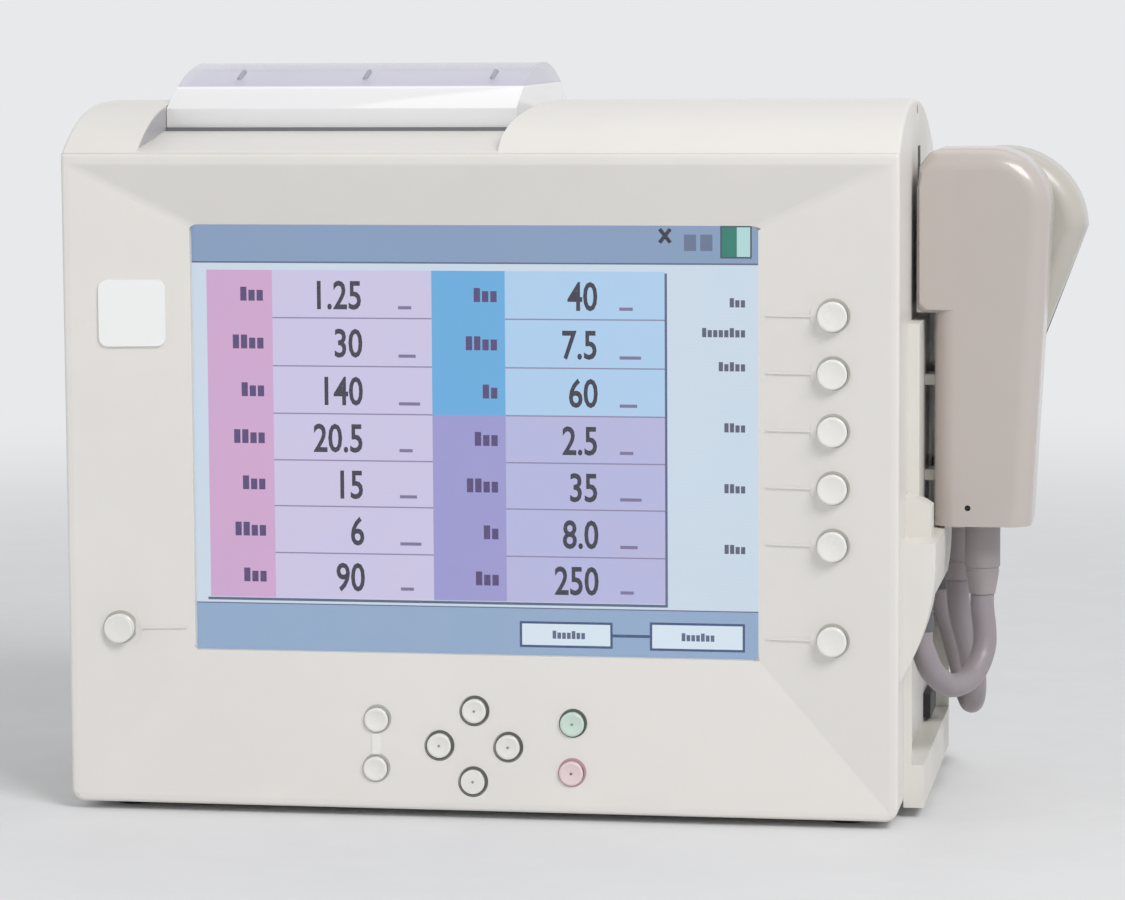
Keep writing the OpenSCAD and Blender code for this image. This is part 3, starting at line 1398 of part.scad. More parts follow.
module module_b_shell() place() color([0.8, 0.8, 0.78]) {
  difference() {
    module_b_form(module_b_y, module_b_y1, 0);
    module_b_form(module_b_y, module_b_y1 + over, module_t);
    hook_slots(module_b_mid);
    translate([relief_b_x, module_b_mid, module_b_low - over])
      cylinder(r = relief_b_dia / 2 - relief_wall, h = module_t + 2 * over);
  }
}

module module_b_back() place() color([0.76, 0.76, 0.74]) {
  difference() {
    union() {
      difference() {
        skin([module_b_ring(module_b_y1 + module_back_t, 1), module_b_ring(module_b_y1, 0)]);
        span([0, module_b_y1 - over, 0], [reach_right, body_d, module_b_low]);
        span([0, module_b_y1 - over, 0], [hang_x, body_d, dock_top + 3]);
        span([0, module_b_y1 - over, 0], [module_ear_x, body_d, module_a_top + over]);
      }
      for (z = [module_b_z - 14, module_b_z + 14])
        bar_y(side_x + module_b_out, z, module_b_y1 - module_post_l, module_b_y1,
          module_post_r);
    }
    for (z = [module_b_low + 60, module_b_z + 22])
      bar_y(side_x + module_b_out - 4, z, module_b_y1 + module_back_t - module_screw_d,
        body_d, module_screw_r);
  }
}

module module_b_board() place() color([0.12, 0.36, 0.22]) {
  y1 = module_b_y1 - module_post_l;
  x = side_x + module_b_out;
  translate([x - module_b_board_w / 2, y1 - board_t, module_b_z - module_b_board_drop])
    cube([module_b_board_w, board_t, module_b_board_h]);
  translate([x - module_chip_w / 2, y1 - board_t - module_chip_t, module_b_z - module_chip_w / 2])
    cube([module_chip_w, module_chip_t, module_chip_w]);
}

// Tube swept along a route: rings stand square to the run, turned the least
function unit(v) = v / norm(v);
function run_dir(route, i) = i == 0 ? unit(route[1] - route[0])
  : i == len(route) - 1 ? unit(route[i] - route[i - 1])
  : unit(unit(route[i + 1] - route[i]) + unit(route[i] - route[i - 1]));
function carry(route, i) = i == 0
  ? unit(cross(run_dir(route, 0), [0, 1, 0.001]))
  : let (d = run_dir(route, i), p = carry(route, i - 1)) unit(p - (p * d) * d);
function tube_ring(route, i, r, sides) =
  let (d = run_dir(route, i), u = carry(route, i), v = cross(d, u))
  [for (k = [0:sides - 1]) let (a = -360 * k / sides)
    route[i] + r * (cos(a) * u + sin(a) * v)];

module cable(route) {
  place() color([0.58, 0.57, 0.58]) translate([side_x, 0, 0])
    skin([for (i = [0:len(route) - 1]) tube_ring(route, i, cable_dia / 2, cable_sides)]);
}

module cable_a() cable(cable_a_route);
module cable_b() cable(cable_b_route);

module plug(y) {
  place() color([0.3, 0.3, 0.32]) {
    difference() {
      translate([plug_x, y, plug_top - plug_l]) cylinder(d = plug_dia, h = plug_l);
      for (i = [0:2])
        translate([plug_x, y, plug_top - 4 - i * 2]) difference() {
          cylinder(d = plug_dia + 1, h = 0.8);
          cylinder(d = plug_dia - 0.8, h = 0.8);
        }
    }
    translate([plug_x, y, plug_top - over]) cylinder(r = plug_dia / 2 - 1.7, h = 6);
  }
}

module plug_a() plug(plug_a_y);
module plug_b() plug(plug_b_y);

front_bezel();
rear_housing();
chassis();
rear_panel();
side_dock();
rubber_feet();
badge_plate();
display_window();
display_panel();
display_frame();
keypad_boards();
soft_key_1();
soft_key_2();
soft_key_3();
soft_key_4();
soft_key_5();
soft_key_6();
left_key();
menu_key_upper();
menu_key_lower();
arrow_key_up();
arrow_key_left();
arrow_key_right();
arrow_key_down();
start_key();
stop_key();
main_board();
power_supply();
battery_pack();
fan_frame();
fan_rotor();
speaker();
cable_sockets();
power_inlet();
power_switch();
data_ports();
printer_cover();
cover_pins();
paper_tub();
paper_roll();
paper_spindle();
paper_strip();
platen_roller();
print_head();
printer_motor();
motor_pinion();
tear_bar();
case_screws();
module_a_shell();
module_a_back();
module_a_board();
module_a_relief();
module_b_shell();
module_b_back();
module_b_board();
module_b_relief();
cable_a();
cable_b();
plug_a();
plug_b();
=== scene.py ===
"""Looks of a bedside blood parameter monitor with a strip printer and two modules.

Places are written in millimetres of the housing, with X = 0 at the middle of the
front, Y = 0 at the front plane and Z = 0 on the desk. at() turns them into the
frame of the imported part, in metres."""

import math

import bmesh
import bpy
from mathutils import Matrix, Vector


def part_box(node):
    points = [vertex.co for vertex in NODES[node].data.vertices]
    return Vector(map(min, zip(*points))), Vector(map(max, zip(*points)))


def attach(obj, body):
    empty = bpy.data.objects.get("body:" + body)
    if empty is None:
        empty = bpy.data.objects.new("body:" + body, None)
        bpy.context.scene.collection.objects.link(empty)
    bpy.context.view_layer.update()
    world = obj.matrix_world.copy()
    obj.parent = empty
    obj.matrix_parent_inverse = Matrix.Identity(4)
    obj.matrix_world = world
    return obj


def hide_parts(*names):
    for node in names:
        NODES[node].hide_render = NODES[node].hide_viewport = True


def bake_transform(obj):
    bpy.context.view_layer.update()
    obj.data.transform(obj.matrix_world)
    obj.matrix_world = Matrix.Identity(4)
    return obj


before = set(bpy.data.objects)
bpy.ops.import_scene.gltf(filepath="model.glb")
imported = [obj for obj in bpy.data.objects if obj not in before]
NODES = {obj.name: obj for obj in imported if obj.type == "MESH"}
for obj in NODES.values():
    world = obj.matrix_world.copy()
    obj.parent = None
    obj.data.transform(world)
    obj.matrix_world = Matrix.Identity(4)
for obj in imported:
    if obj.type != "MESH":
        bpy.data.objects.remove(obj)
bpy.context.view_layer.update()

MM = 0.001
housing_low, housing_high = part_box("rear_housing")
MID_X = (housing_low.x + housing_high.x) / 2
FRONT_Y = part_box("front_bezel")[0].y


def at(x, y, z):
    """A place of the housing, in mm, as a point of the part's frame, in metres."""
    return Vector((MID_X + x * MM, FRONT_Y + y * MM, z * MM))


def in_mm(point):
    """A point of the part's frame as a place of the housing, in mm."""
    return Vector(((point.x - MID_X) / MM, (point.y - FRONT_Y) / MM, point.z / MM))


def middle_of(name):
    """Middle of a node's box, in mm of the housing."""
    low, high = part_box(name)
    return in_mm((low + high) / 2)


# Places and sizes of the housing that the looks follow, in mm
HALF_W = (housing_high.x - housing_low.x) / 2 / MM
REAR_Y = (housing_high.y - FRONT_Y) / MM
SEAM_Y = (housing_low.y - FRONT_Y) / MM
SHOULDER_Z = 246.0
window_low, window_high = (in_mm(p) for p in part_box("display_window"))
WINDOW_LAP = 4.0
LCD_X0, LCD_X1 = window_low.x + WINDOW_LAP, window_high.x - WINDOW_LAP
LCD_Z0, LCD_Z1 = window_low.z + WINDOW_LAP, window_high.z - WINDOW_LAP


# ---- Camera --------------------------------------------------------------------

PHOTO_W = 1125
FOCAL_PX = 4097
SENSOR = 36.0
CAMERA_PLACE = (278.6, -1473.2, 300)
CLIP = (0.05, 60)
YAW, PITCH, ROLL = (math.radians(a) for a in (9.48, 6.17, -0.33))


def add_camera():
    forward = Vector((-math.sin(YAW) * math.cos(PITCH), math.cos(YAW) * math.cos(PITCH),
                      -math.sin(PITCH)))
    right = Vector((math.cos(YAW), math.sin(YAW), 0))
    up = right.cross(forward)
    side = math.cos(ROLL) * right + math.sin(ROLL) * up
    top = math.cos(ROLL) * up - math.sin(ROLL) * right
    data = bpy.data.cameras.new("camera")
    data.sensor_width = SENSOR
    data.sensor_fit = "HORIZONTAL"
    data.lens = FOCAL_PX / PHOTO_W * SENSOR
    data.clip_start, data.clip_end = CLIP
    camera = bpy.data.objects.new("camera", data)
    bpy.context.scene.collection.objects.link(camera)
    turn = Matrix((side, top, -forward)).transposed().to_4x4()
    camera.matrix_world = Matrix.Translation(at(*CAMERA_PLACE)) @ turn
    bpy.context.scene.camera = camera


add_camera()


# ---- Materials -----------------------------------------------------------------

# Sizes in mm of the spots in a surface's tone and gloss, and the reach of the dirt and
# painted shade in its corners
TONE_SPOT, GLOSS_SPOT, DIRT_AND_SHADE_REACH = 45, 12, 3
# What the dirt and painted shade in corners leave of a surface's green and blue, and then of
# the whole colour
DIRT_AND_SHADE_GREEN, DIRT_AND_SHADE_BLUE, DIRT_AND_SHADE_KEPT = 0.93, 0.82, 0.35
NOISE_ROUGH = 0.55
METAL_MOTTLE = 0.05
# Size in mm of the ripple in clear mouldings
RIPPLE = 6


def rgb(r, g, b):
    """A colour given in screen values, 0 to 255, as the linear colour of a shader."""
    def linear(v):
        v /= 255
        return v / 12.92 if v <= 0.04045 else ((v + 0.055) / 1.055) ** 2.4
    return (linear(r), linear(g), linear(b), 1)


def scaled(color, k):
    """A linear colour made k times as bright, at most white."""
    return tuple(min(1, c * k) for c in color[:3]) + (1,)


def node(tree, kind, inputs=None, **settings):
    """Adds a shader node; an input is a value or the output that feeds it."""
    n = tree.nodes.new("ShaderNode" + kind)
    for name, value in settings.items():
        setattr(n, name, value)
    for name, value in (inputs or {}).items():
        if isinstance(value, bpy.types.NodeSocket):
            tree.links.new(value, n.inputs[name])
        else:
            n.inputs[name].default_value = value
    return n


def blank(name):
    """A material without nodes, and its tree."""
    material = bpy.data.materials.new(name)
    material.use_nodes = True
    tree = material.node_tree
    tree.nodes.clear()
    return material, tree


def mixed(tree, factor, a, b):
    """Colour a, turned into b by the share factor."""
    return node(tree, "Mix", {0: factor, 6: a, 7: b}, data_type="RGBA").outputs[2]


def maths(tree, operation, a, b, clamp=False):
    return node(tree, "Math", {0: a, 1: b}, operation=operation,
                use_clamp=clamp).outputs[0]


def own_place(tree):
    """Place on the piece, in its own coordinates."""
    return node(tree, "TexCoord").outputs["Object"]


def bumped(tree, depth, height):
    """Normal of a surface with bumps of a height from 0 to 1, depth mm deep."""
    return node(tree, "Bump", {"Strength": 1.0, "Distance": depth * MM,
                               "Height": height}).outputs["Normal"]


def noise(tree, size, detail=3.0, where=None):
    """Noise whose features are about size mm across."""
    where = where or own_place(tree)
    return node(tree, "TexNoise", {
        "Vector": where, "Scale": 1 / (size * MM), "Detail": detail,
        "Roughness": NOISE_ROUGH}).outputs["Fac"]


def ramp(tree, value, low, high, out_low=0.0, out_high=1.0):
    """A value between low and high as one between out_low and out_high."""
    return node(tree, "MapRange", {0: value, 1: low, 2: high, 3: out_low,
                                   4: out_high}).outputs[0]


def surface(name, color, rough=0.45, grain=0.6, depth=0.03, mottle=0.03, grime_and_shade=0.12,
            wear=0.12, shader=None, extra=None):
    """Moulded or rolled surface: colour that varies softly over the piece, a little
    dirt and painted shade in its corners, darker where they are closed in, gloss uneven
    by the share wear, and a fine grain of the given size and depth in mm. shader sets
    further values of the shader, extra gives another colour and height."""
    material, tree = blank(name)
    tone = mixed(tree, ramp(tree, noise(tree, TONE_SPOT), 0.35, 0.65),
                 scaled(color, 1 - mottle), scaled(color, 1 + mottle))
    # Painted shade and dirt: darker in the corners by their ambient occlusion, in a dirt tint
    corners = node(tree, "AmbientOcclusion", {"Distance": DIRT_AND_SHADE_REACH * MM}, samples=8,
                   only_local=True).outputs["AO"]
    dirt_and_shade = scaled((color[0], color[1] * DIRT_AND_SHADE_GREEN, color[2] * DIRT_AND_SHADE_BLUE), DIRT_AND_SHADE_KEPT)
    tone = mixed(tree, ramp(tree, corners, 0.2, 0.9, grime_and_shade, 0), tone, dirt_and_shade)
    height = noise(tree, grain, detail=2)
    if extra:
        tone, height = extra(tree, tone)
    gloss = ramp(tree, noise(tree, GLOSS_SPOT), 0.3, 0.7, rough * (1 - wear),
                 min(1, rough * (1 + wear)))
    body = node(tree, "BsdfPrincipled", {"Base Color": tone, "Roughness": gloss,
                                         "Normal": bumped(tree, depth, height)})
    for socket, value in (shader or {}).items():
        body.inputs[socket].default_value = value
    node(tree, "OutputMaterial", {"Surface": body.outputs["BSDF"]})
    return material


def metal(name, color, rough, brushed, depth=0.01):
    """Metal with brush marks drawn out along the axes whose factor is small."""
    def marks(tree, tone):
        where = node(tree, "Mapping", {"Vector": own_place(tree), "Scale": brushed})
        return tone, noise(tree, 0.5, detail=2, where=where.outputs["Vector"])
    return surface(name, color, rough, depth=depth, mottle=METAL_MOTTLE,
                   shader={"Metallic": 1.0}, extra=marks)


def board_pattern(tree, tone):
    """Copper traces and pads under a solder mask."""
    where = own_place(tree)
    cells = node(tree, "TexVoronoi", {"Vector": where, "Scale": 1 / (6 * MM)},
                 distance="MANHATTAN", feature="F1")
    lines = node(tree, "TexBrick", {
        "Vector": where, "Scale": 1 / (9 * MM), "Mortar Size": 0.06, "Color1": (0, 0, 0, 1),
        "Color2": (0, 0, 0, 1), "Mortar": (1, 1, 1, 1)})
    tone = mixed(tree, ramp(tree, lines.outputs["Color"], 0.4, 0.6, 0, 0.5), tone,
                 rgb(60, 150, 80))
    tone = mixed(tree, ramp(tree, cells.outputs["Distance"], 0.16, 0.1, 0, 1), tone,
                 rgb(190, 180, 120))
    return tone, lines.outputs["Color"]


def roll_pattern(tree, tone):
    """Windings of the paper roll, seen as rings on its ends."""
    axis = middle_of("paper_roll")
    where = node(tree, "VectorMath", {0: own_place(tree), 1: at(0, axis.y, axis.z)},
                 operation="SUBTRACT")
    rings = node(tree, "TexWave", {"Vector": where.outputs[0], "Scale": 1 / (7 * MM),
                                   "Distortion": 0.4, "Detail": 2},
                 wave_type="RINGS", rings_direction="X")
    tone = mixed(tree, ramp(tree, rings.outputs["Fac"], 0, 1, 0.25, 0), tone,
                 rgb(170, 165, 155))
    return tone, rings.outputs["Fac"]


def clear_plastic(name, color, rough, tint):
    """Clear moulding: sees through, with a fine ripple and a tinted body."""
    material, tree = blank(name)
    tone = mixed(tree, ramp(tree, noise(tree, 30), 0.35, 0.65), color, tint)
    body = node(tree, "BsdfPrincipled", {
        "Base Color": tone, "Roughness": ramp(tree, noise(tree, 9), 0.3, 0.7, rough,
                                              rough * 1.6),
        "Transmission Weight": 1.0, "IOR": 1.49,
        "Normal": bumped(tree, 0.02, noise(tree, RIPPLE, detail=2))})
    node(tree, "OutputMaterial", {"Surface": body.outputs["BSDF"]})
    return material


# Cover of the thin clear moulding seen edgewise, and what frost and the painted highlight add
# to it
EDGE_COVER, FROST_COVER, HIGHLIGHT_COVER = 0.9, 0.3, 0.5
# How fast the cover grows towards the edge, as a blend and a power
EDGE_BLEND, EDGE_POWER = 0.35, 2.0
# Colour of the painted highlight
HIGHLIGHT_TONE = rgb(252, 252, 254)
# Width in mm over which frost and the painted highlight come in
FROST_AND_HIGHLIGHT_SOFT = 0.4


def thin_clear(name, color, pale, least, fold, crest):
    """Thin clear moulding: lets most light through where it is seen face on, and
    turns pale and glossy where it is seen edgewise. Below the height fold it is
    frosted in the colour pale; along the fold and all above the height crest a
    highlight is painted in near white."""
    material, tree = blank(name)
    height = node(tree, "SeparateXYZ", {0: own_place(tree)}).outputs["Z"]
    soft = FROST_AND_HIGHLIGHT_SOFT * MM
    frosted = ramp(tree, height, fold - soft, fold, 1, 0)
    # Painted highlight: a line along the fold and all above the crest, near white and less
    # see-through
    line = maths(tree, "MULTIPLY", ramp(tree, height, fold - soft, fold),
                 ramp(tree, height, fold + soft, fold + 2 * soft, 1, 0))
    painted_highlight = maths(tree, "MAXIMUM", line, ramp(tree, height, crest - soft, crest))
    edge = maths(tree, "POWER",
                 node(tree, "LayerWeight", {"Blend": EDGE_BLEND}).outputs["Facing"],
                 EDGE_POWER)
    cover = maths(tree, "ADD", ramp(tree, edge, 0, 1, least, EDGE_COVER),
                  ramp(tree, frosted, 0, 1, 0, FROST_COVER))
    cover = maths(tree, "ADD", cover, ramp(tree, painted_highlight, 0, 1, 0, HIGHLIGHT_COVER), clamp=True)
    tone = mixed(tree, frosted, color, pale)
    tone = mixed(tree, painted_highlight, tone, HIGHLIGHT_TONE)
    tone = mixed(tree, ramp(tree, noise(tree, 40), 0.4, 0.7, 0, 0.06), tone, (1, 1, 1, 1))
    body = node(tree, "BsdfPrincipled", {
        "Base Color": tone, "Alpha": cover,
        "Normal": bumped(tree, 0.01, noise(tree, RIPPLE, detail=2)),
        "Roughness": ramp(tree, noise(tree, 9), 0.3, 0.7, 0.05, 0.08),
        "Coat Weight": 0.6, "Coat Roughness": 0.04})
    node(tree, "OutputMaterial", {"Surface": body.outputs["BSDF"]})
    return material


def lit(name, color, lines=0.0):
    """Lit picture element of the display, with its fine pixel rows."""
    material, tree = blank(name)
    wave = node(tree, "TexWave", {"Vector": own_place(tree), "Scale": 1 / (4 * MM),
                                  "Distortion": 0}, bands_direction="Z")
    tone = mixed(tree, ramp(tree, wave.outputs["Fac"], 0, 1, 0, 0.05 + lines), color,
                 scaled(color, 0.8))
    tone = mixed(tree, ramp(tree, noise(tree, 60, detail=1), 0.35, 0.65, 0, 0.12), tone,
                 scaled(color, 1.12))
    glow = node(tree, "Emission", {"Color": tone, "Strength": 1.0})
    node(tree, "OutputMaterial", {"Surface": glow.outputs["Emission"]})
    return material


def cover_height(z):
    """Height z in mm of the housing as the printer cover's own coordinates have it."""
    return (NODES["printer_cover"].matrix_world.inverted() @ at(0, 0, z)).z


OFF_WHITE = rgb(227, 224, 220)
# Heights in mm at which the printer cover has its fold and its crest, where its highlight is
# painted
COVER_FOLD, COVER_CREST = 269.8, 279.15
FINISHES = {
    "housing_plastic": lambda n: surface(n, OFF_WHITE, 0.38, grain=0.5, depth=0.015,
                                         mottle=0.012, grime_and_shade=0.08),
    "dock_plastic": lambda n: surface(n, rgb(223, 221, 215), 0.42, grain=0.5, depth=0.015,
                                      mottle=0.012, grime_and_shade=0.08),
    "panel_metal": lambda n: metal(n, rgb(196, 198, 200), 0.38, (0.04, 1, 1)),
    "chassis_metal": lambda n: metal(n, rgb(178, 181, 184), 0.42, (1, 0.05, 1)),
    "screw_metal": lambda n: metal(n, rgb(150, 151, 154), 0.3, (1, 1, 1), 0.02),
    "foot_rubber": lambda n: surface(n, rgb(52, 52, 54), 0.85, grain=0.4, depth=0.06),
    "badge_face": lambda n: surface(n, rgb(240, 241, 241), 0.3, grain=0.8, depth=0.005,
                                    mottle=0.002, grime_and_shade=0.02, wear=0.01,
                                    shader={"Coat Weight": 0.3}),
    "window_glass": lambda n: clear_plastic(n, (1, 1, 1, 1), 0.02, (0.97, 0.99, 1, 1)),
    "screen_face": lambda n: surface(n, rgb(70, 76, 84), 0.4, grain=0.3, depth=0.01),
    "key_white": lambda n: surface(n, rgb(232, 231, 227), 0.26, grain=0.5, depth=0.006,
                                   mottle=0.015, shader={"Coat Weight": 0.4}),
    "key_green": lambda n: surface(n, rgb(203, 222, 212), 0.26, grain=0.5, depth=0.006,
                                   mottle=0.02, shader={"Coat Weight": 0.4}),
    "key_red": lambda n: surface(n, rgb(229, 208, 210), 0.26, grain=0.5, depth=0.006,
                                 mottle=0.02, shader={"Coat Weight": 0.4}),
    "board_green": lambda n: surface(n, rgb(34, 98, 58), 0.35, depth=0.04,
                                     extra=board_pattern),
    "battery_wrap": lambda n: surface(n, rgb(62, 70, 84), 0.3, grain=3, depth=0.05),
    "black_plastic": lambda n: surface(n, rgb(34, 35, 37), 0.5, grain=0.4, depth=0.03),
    "port_metal": lambda n: metal(n, rgb(168, 170, 172), 0.35, (1, 1, 0.1)),
    "cover_clear": lambda n: thin_clear(n, rgb(228, 226, 244), rgb(248, 248, 250), 0.5,
                                        cover_height(COVER_FOLD), cover_height(COVER_CREST)),
    "pin_metal": lambda n: metal(n, rgb(185, 186, 190), 0.25, (0.05, 1, 1)),
    "tub_plastic": lambda n: surface(n, rgb(224, 224, 226), 0.5, grain=0.6, depth=0.02),
    "paper_white": lambda n: surface(n, rgb(243, 243, 240), 0.7, grain=0.3, depth=0.02,
                                     extra=roll_pattern),
    "platen_rubber": lambda n: surface(n, rgb(58, 58, 60), 0.7, grain=0.5, depth=0.04),
    "head_metal": lambda n: metal(n, rgb(160, 163, 168), 0.35, (0.05, 1, 1)),
    "pinion_brass": lambda n: metal(n, rgb(196, 164, 92), 0.3, (0.1, 1, 1)),
    "module_a_plastic": lambda n: surface(
        n, rgb(190, 181, 176), 0.3, grain=0.7, depth=0.006, mottle=0.008, grime_and_shade=0,
        wear=0.02, shader={"Coat Weight": 0.5, "Coat Roughness": 0.1}),
    "module_b_plastic": lambda n: surface(
        n, rgb(188, 184, 176), 0.34, grain=0.7, depth=0.008, mottle=0.01, grime_and_shade=0,
        wear=0.03, shader={"Coat Weight": 0.3, "Coat Roughness": 0.2}),
    "relief_plastic": lambda n: surface(n, rgb(160, 153, 155), 0.5, grain=0.5, depth=0.02),
    "cable_grey": lambda n: surface(n, rgb(150, 142, 147), 0.36, grain=0.5, depth=0.02),
    "plug_grey": lambda n: surface(n, rgb(96, 95, 100), 0.45, grain=0.5, depth=0.02),
}
MATERIALS = {slot: make(slot) for slot, make in FINISHES.items()}


# ---- New pieces ----------------------------------------------------------------

def piece(name, bm, slot, body, material=None, smooth=True):
    """Turns a bmesh in the part's frame into a piece that rides on a body."""
    bmesh.ops.recalc_face_normals(bm, faces=bm.faces)
    mesh = bpy.data.meshes.new(name)
    bm.to_mesh(mesh)
    bm.free()
    obj = bpy.data.objects.new(name, mesh)
    bpy.context.scene.collection.objects.link(obj)
    mesh.materials.append(material or MATERIALS[slot])
    for face in mesh.polygons:
        face.use_smooth = smooth
    if body:
        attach(obj, body)
    return obj


def add_box(bm, low, high):
    """Box between two places, in mm of the housing."""
    corners = [at(x, y, z) for z in (low[2], high[2]) for y in (low[1], high[1])
               for x in (low[0], high[0])]
    v = [bm.verts.new(c) for c in corners]
    for loop in ((0, 2, 3, 1), (4, 5, 7, 6), (0, 1, 5, 4), (2, 6, 7, 3), (0, 4, 6, 2),
                 (1, 3, 7, 5)):
        bm.faces.new([v[i] for i in loop])


def join(bm, rings):
    """Faces from each ring of vertices to the next one."""
    for a, b in zip(rings, rings[1:]):
        for i in range(len(a)):
            j = (i + 1) % len(a)
            bm.faces.new((a[i], a[j], b[j], b[i]))


def lathe(bm, profile, centre, axis, sides):
    """Turned solid. profile lists (distance along the axis, radius) in mm, from a
    centre in the part's frame; a radius of zero closes an end."""
    turn = axis.to_track_quat("Z", "Y").to_matrix()
    rings = []
    for along, radius in profile:
        count = 1 if radius == 0 else sides
        rings.append([bm.verts.new(centre + turn @ Vector((
            radius * MM * math.cos(i * math.tau / sides),
            radius * MM * math.sin(i * math.tau / sides), along * MM)))
            for i in range(count)])
    for a, b in zip(rings, rings[1:]):
        for i in range(sides):
            loop = [a[i % len(a)], a[(i + 1) % len(a)], b[(i + 1) % len(b)], b[i % len(b)]]
            unique = list(dict.fromkeys(loop))
            if len(unique) > 2:
                bm.faces.new(unique)


def smooth_path(points, steps):
    """Points along the curve through the given ones, closer together."""
    path = []
    for i in range(len(points) - 1):
        p0 = points[max(i - 1, 0)]
        p1, p2 = points[i], points[i + 1]
        p3 = points[min(i + 2, len(points) - 1)]
        for k in range(steps):
            t = k / steps
            path.append(0.5 * (2 * p1 + (p2 - p0) * t + (2 * p0 - 5 * p1 + 4 * p2 - p3) * t**2
                               + (3 * p1 - p0 - 3 * p2 + p3) * t**3))
    return path + [points[-1]]


def tube(bm, path, radius, sides=24):
    """Closed tube of a radius in metres along a path."""
    tangent = (path[1] - path[0]).normalized()
    normal = tangent.orthogonal().normalized()
    rings = []
    for i, p in enumerate(path):
        ahead = (path[min(i + 1, len(path) - 1)] - path[max(i - 1, 0)]).normalized()
        normal = (normal - normal.dot(ahead) * ahead).normalized()
        other = ahead.cross(normal)
        rings.append([bm.verts.new(p + radius * (math.cos(a) * normal + math.sin(a) * other))
                      for a in (j * math.tau / sides for j in range(sides))])
    join(bm, rings)
    bm.faces.new(rings[0][::-1])
    bm.faces.new(rings[-1])


# ---- Module cables -------------------------------------------------------------

CABLE_DIA = 9.0
PATH_STEPS = 5
# From strain relief to plug, X from the housing's side
CABLE_ROUTES = {
    "a": ((26, 68.5, 78.5), (26, 68.5, 73.5), (26.5, 68.5, 69), (27, 68.5, 64),
          (27, 67.5, 59), (26, 65.5, 54.5), (24.5, 62.5, 51), (22.5, 59, 48),
          (20, 55, 46.5), (17.5, 51, 46), (15, 47, 46.5), (13, 43, 48.5),
          (10.5, 39.5, 51.5), (8.5, 37, 55), (7, 35, 59.5), (5.5, 34, 64.5),
          (5.5, 34, 69)),
    "b": ((14, 109.5, 78), (14, 109.5, 72.5), (14.5, 109.5, 67), (15.5, 109.5, 61.5),
          (17, 109.5, 56), (18.5, 109.5, 50.5), (19.5, 110, 45), (20.5, 111, 40),
          (20.5, 113.5, 35), (20, 117, 31), (19, 122, 28), (18, 127.5, 27),
          (17, 133, 27.5), (15.5, 138, 29.5), (14.5, 142, 32.5), (13, 145.5, 37),
          (11.5, 147.5, 42), (10, 148, 47.5), (8.5, 148, 53), (6.5, 148, 58.5),
          (5.5, 148, 64), (5.5, 148, 69)),
}


def add_cable(key):
    """Jacket of a module's cable."""
    route = [at(HALF_W + x, y, z) for x, y, z in CABLE_ROUTES[key]]
    path = smooth_path(route, PATH_STEPS)
    bm = bmesh.new()
    tube(bm, path, CABLE_DIA / 2 * MM)
    cable = piece(f"cable_{key}_jacket", bm, "cable_grey", None)
    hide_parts(f"cable_{key}")
    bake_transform(cable)


add_cable("a")
add_cable("b")


# ---- Carried-over nodes: rounded edges and finishes ----------------------------

# Angles in degrees: under FLAT faces count as one flat area, under SLIGHT an edge is
# left as it is, over EDGE_ANGLE it gets the small rounding, over SHARP its shading breaks
FLAT, SLIGHT, EDGE_ANGLE, SHARP = 0.5, 3, 28, 30
WELD = 1e-6
# Number of cuts after which a flat area that still has holes is left in its faces
MOST_CUTS = 12


def smooth_group():
    """Modifier group that shades smooth, with edges over the angle SHARP sharp."""
    group = bpy.data.node_groups.new("smooth_by_angle", "GeometryNodeTree")
    group.interface.new_socket("Geometry", in_out="INPUT",
                               socket_type="NodeSocketGeometry")
    group.interface.new_socket("Geometry", in_out="OUTPUT",
                               socket_type="NodeSocketGeometry")
    start = group.nodes.new("NodeGroupInput")
    angle = group.nodes.new("GeometryNodeInputMeshEdgeAngle")
    sharp = group.nodes.new("FunctionNodeCompare")
    sharp.data_type, sharp.operation = "FLOAT", "GREATER_THAN"
    sharp.inputs["B"].default_value = math.radians(SHARP)
    edges = group.nodes.new("GeometryNodeSetShadeSmooth")
    edges.domain = "EDGE"
    edges.inputs["Shade Smooth"].default_value = False
    faces = group.nodes.new("GeometryNodeSetShadeSmooth")
    end = group.nodes.new("NodeGroupOutput")
    link = group.links.new
    link(angle.outputs["Unsigned Angle"], sharp.inputs["A"])
    link(start.outputs[0], edges.inputs["Geometry"])
    link(sharp.outputs["Result"], edges.inputs["Selection"])
    link(edges.outputs["Geometry"], faces.inputs["Geometry"])
    link(faces.outputs["Geometry"], end.inputs[0])
    return group


SMOOTH = smooth_group()


def even_out(obj):
    """Smooth shading with sharp edges kept and flat faces left flat."""
    smooth = obj.modifiers.new("smooth", "NODES")
    smooth.node_group = SMOOTH
    even = obj.modifiers.new("even", "WEIGHTED_NORMAL")
    even.keep_sharp = True


BIG, SMALL = "round_big", "round_small"


def outline_loops(area):
    """Loops of vertices round a group of faces, or None where two of them touch."""
    ahead = {}
    for face in area:
        for loop in face.loops:
            if sum(f in area for f in loop.edge.link_faces) == 1:
                if loop.vert in ahead:
                    return None
                ahead[loop.vert] = loop.link_loop_next.vert
    loops = []
    while ahead:
        vert, loop = next(iter(ahead)), []
        while vert in ahead:
            loop.append(vert)
            vert = ahead.pop(vert)
        loops.append(loop)
    return loops


def spread(faces, joined):
    """Splits faces into groups that hang together over the edges that joined names. A
    group is a dict of its faces, which keeps their order the same in each run."""
    left, groups = set(faces), []
    for start in faces:
        if start not in left:
            continue
        left.remove(start)
        todo, found = [start], {start: None}
        while todo:
            for edge in todo.pop().edges:
                if joined(edge):
                    near = [f for f in edge.link_faces if f in left]
                    left.difference_update(near)
                    found.update(dict.fromkeys(near))
                    todo.extend(near)
        groups.append(found)
    return groups


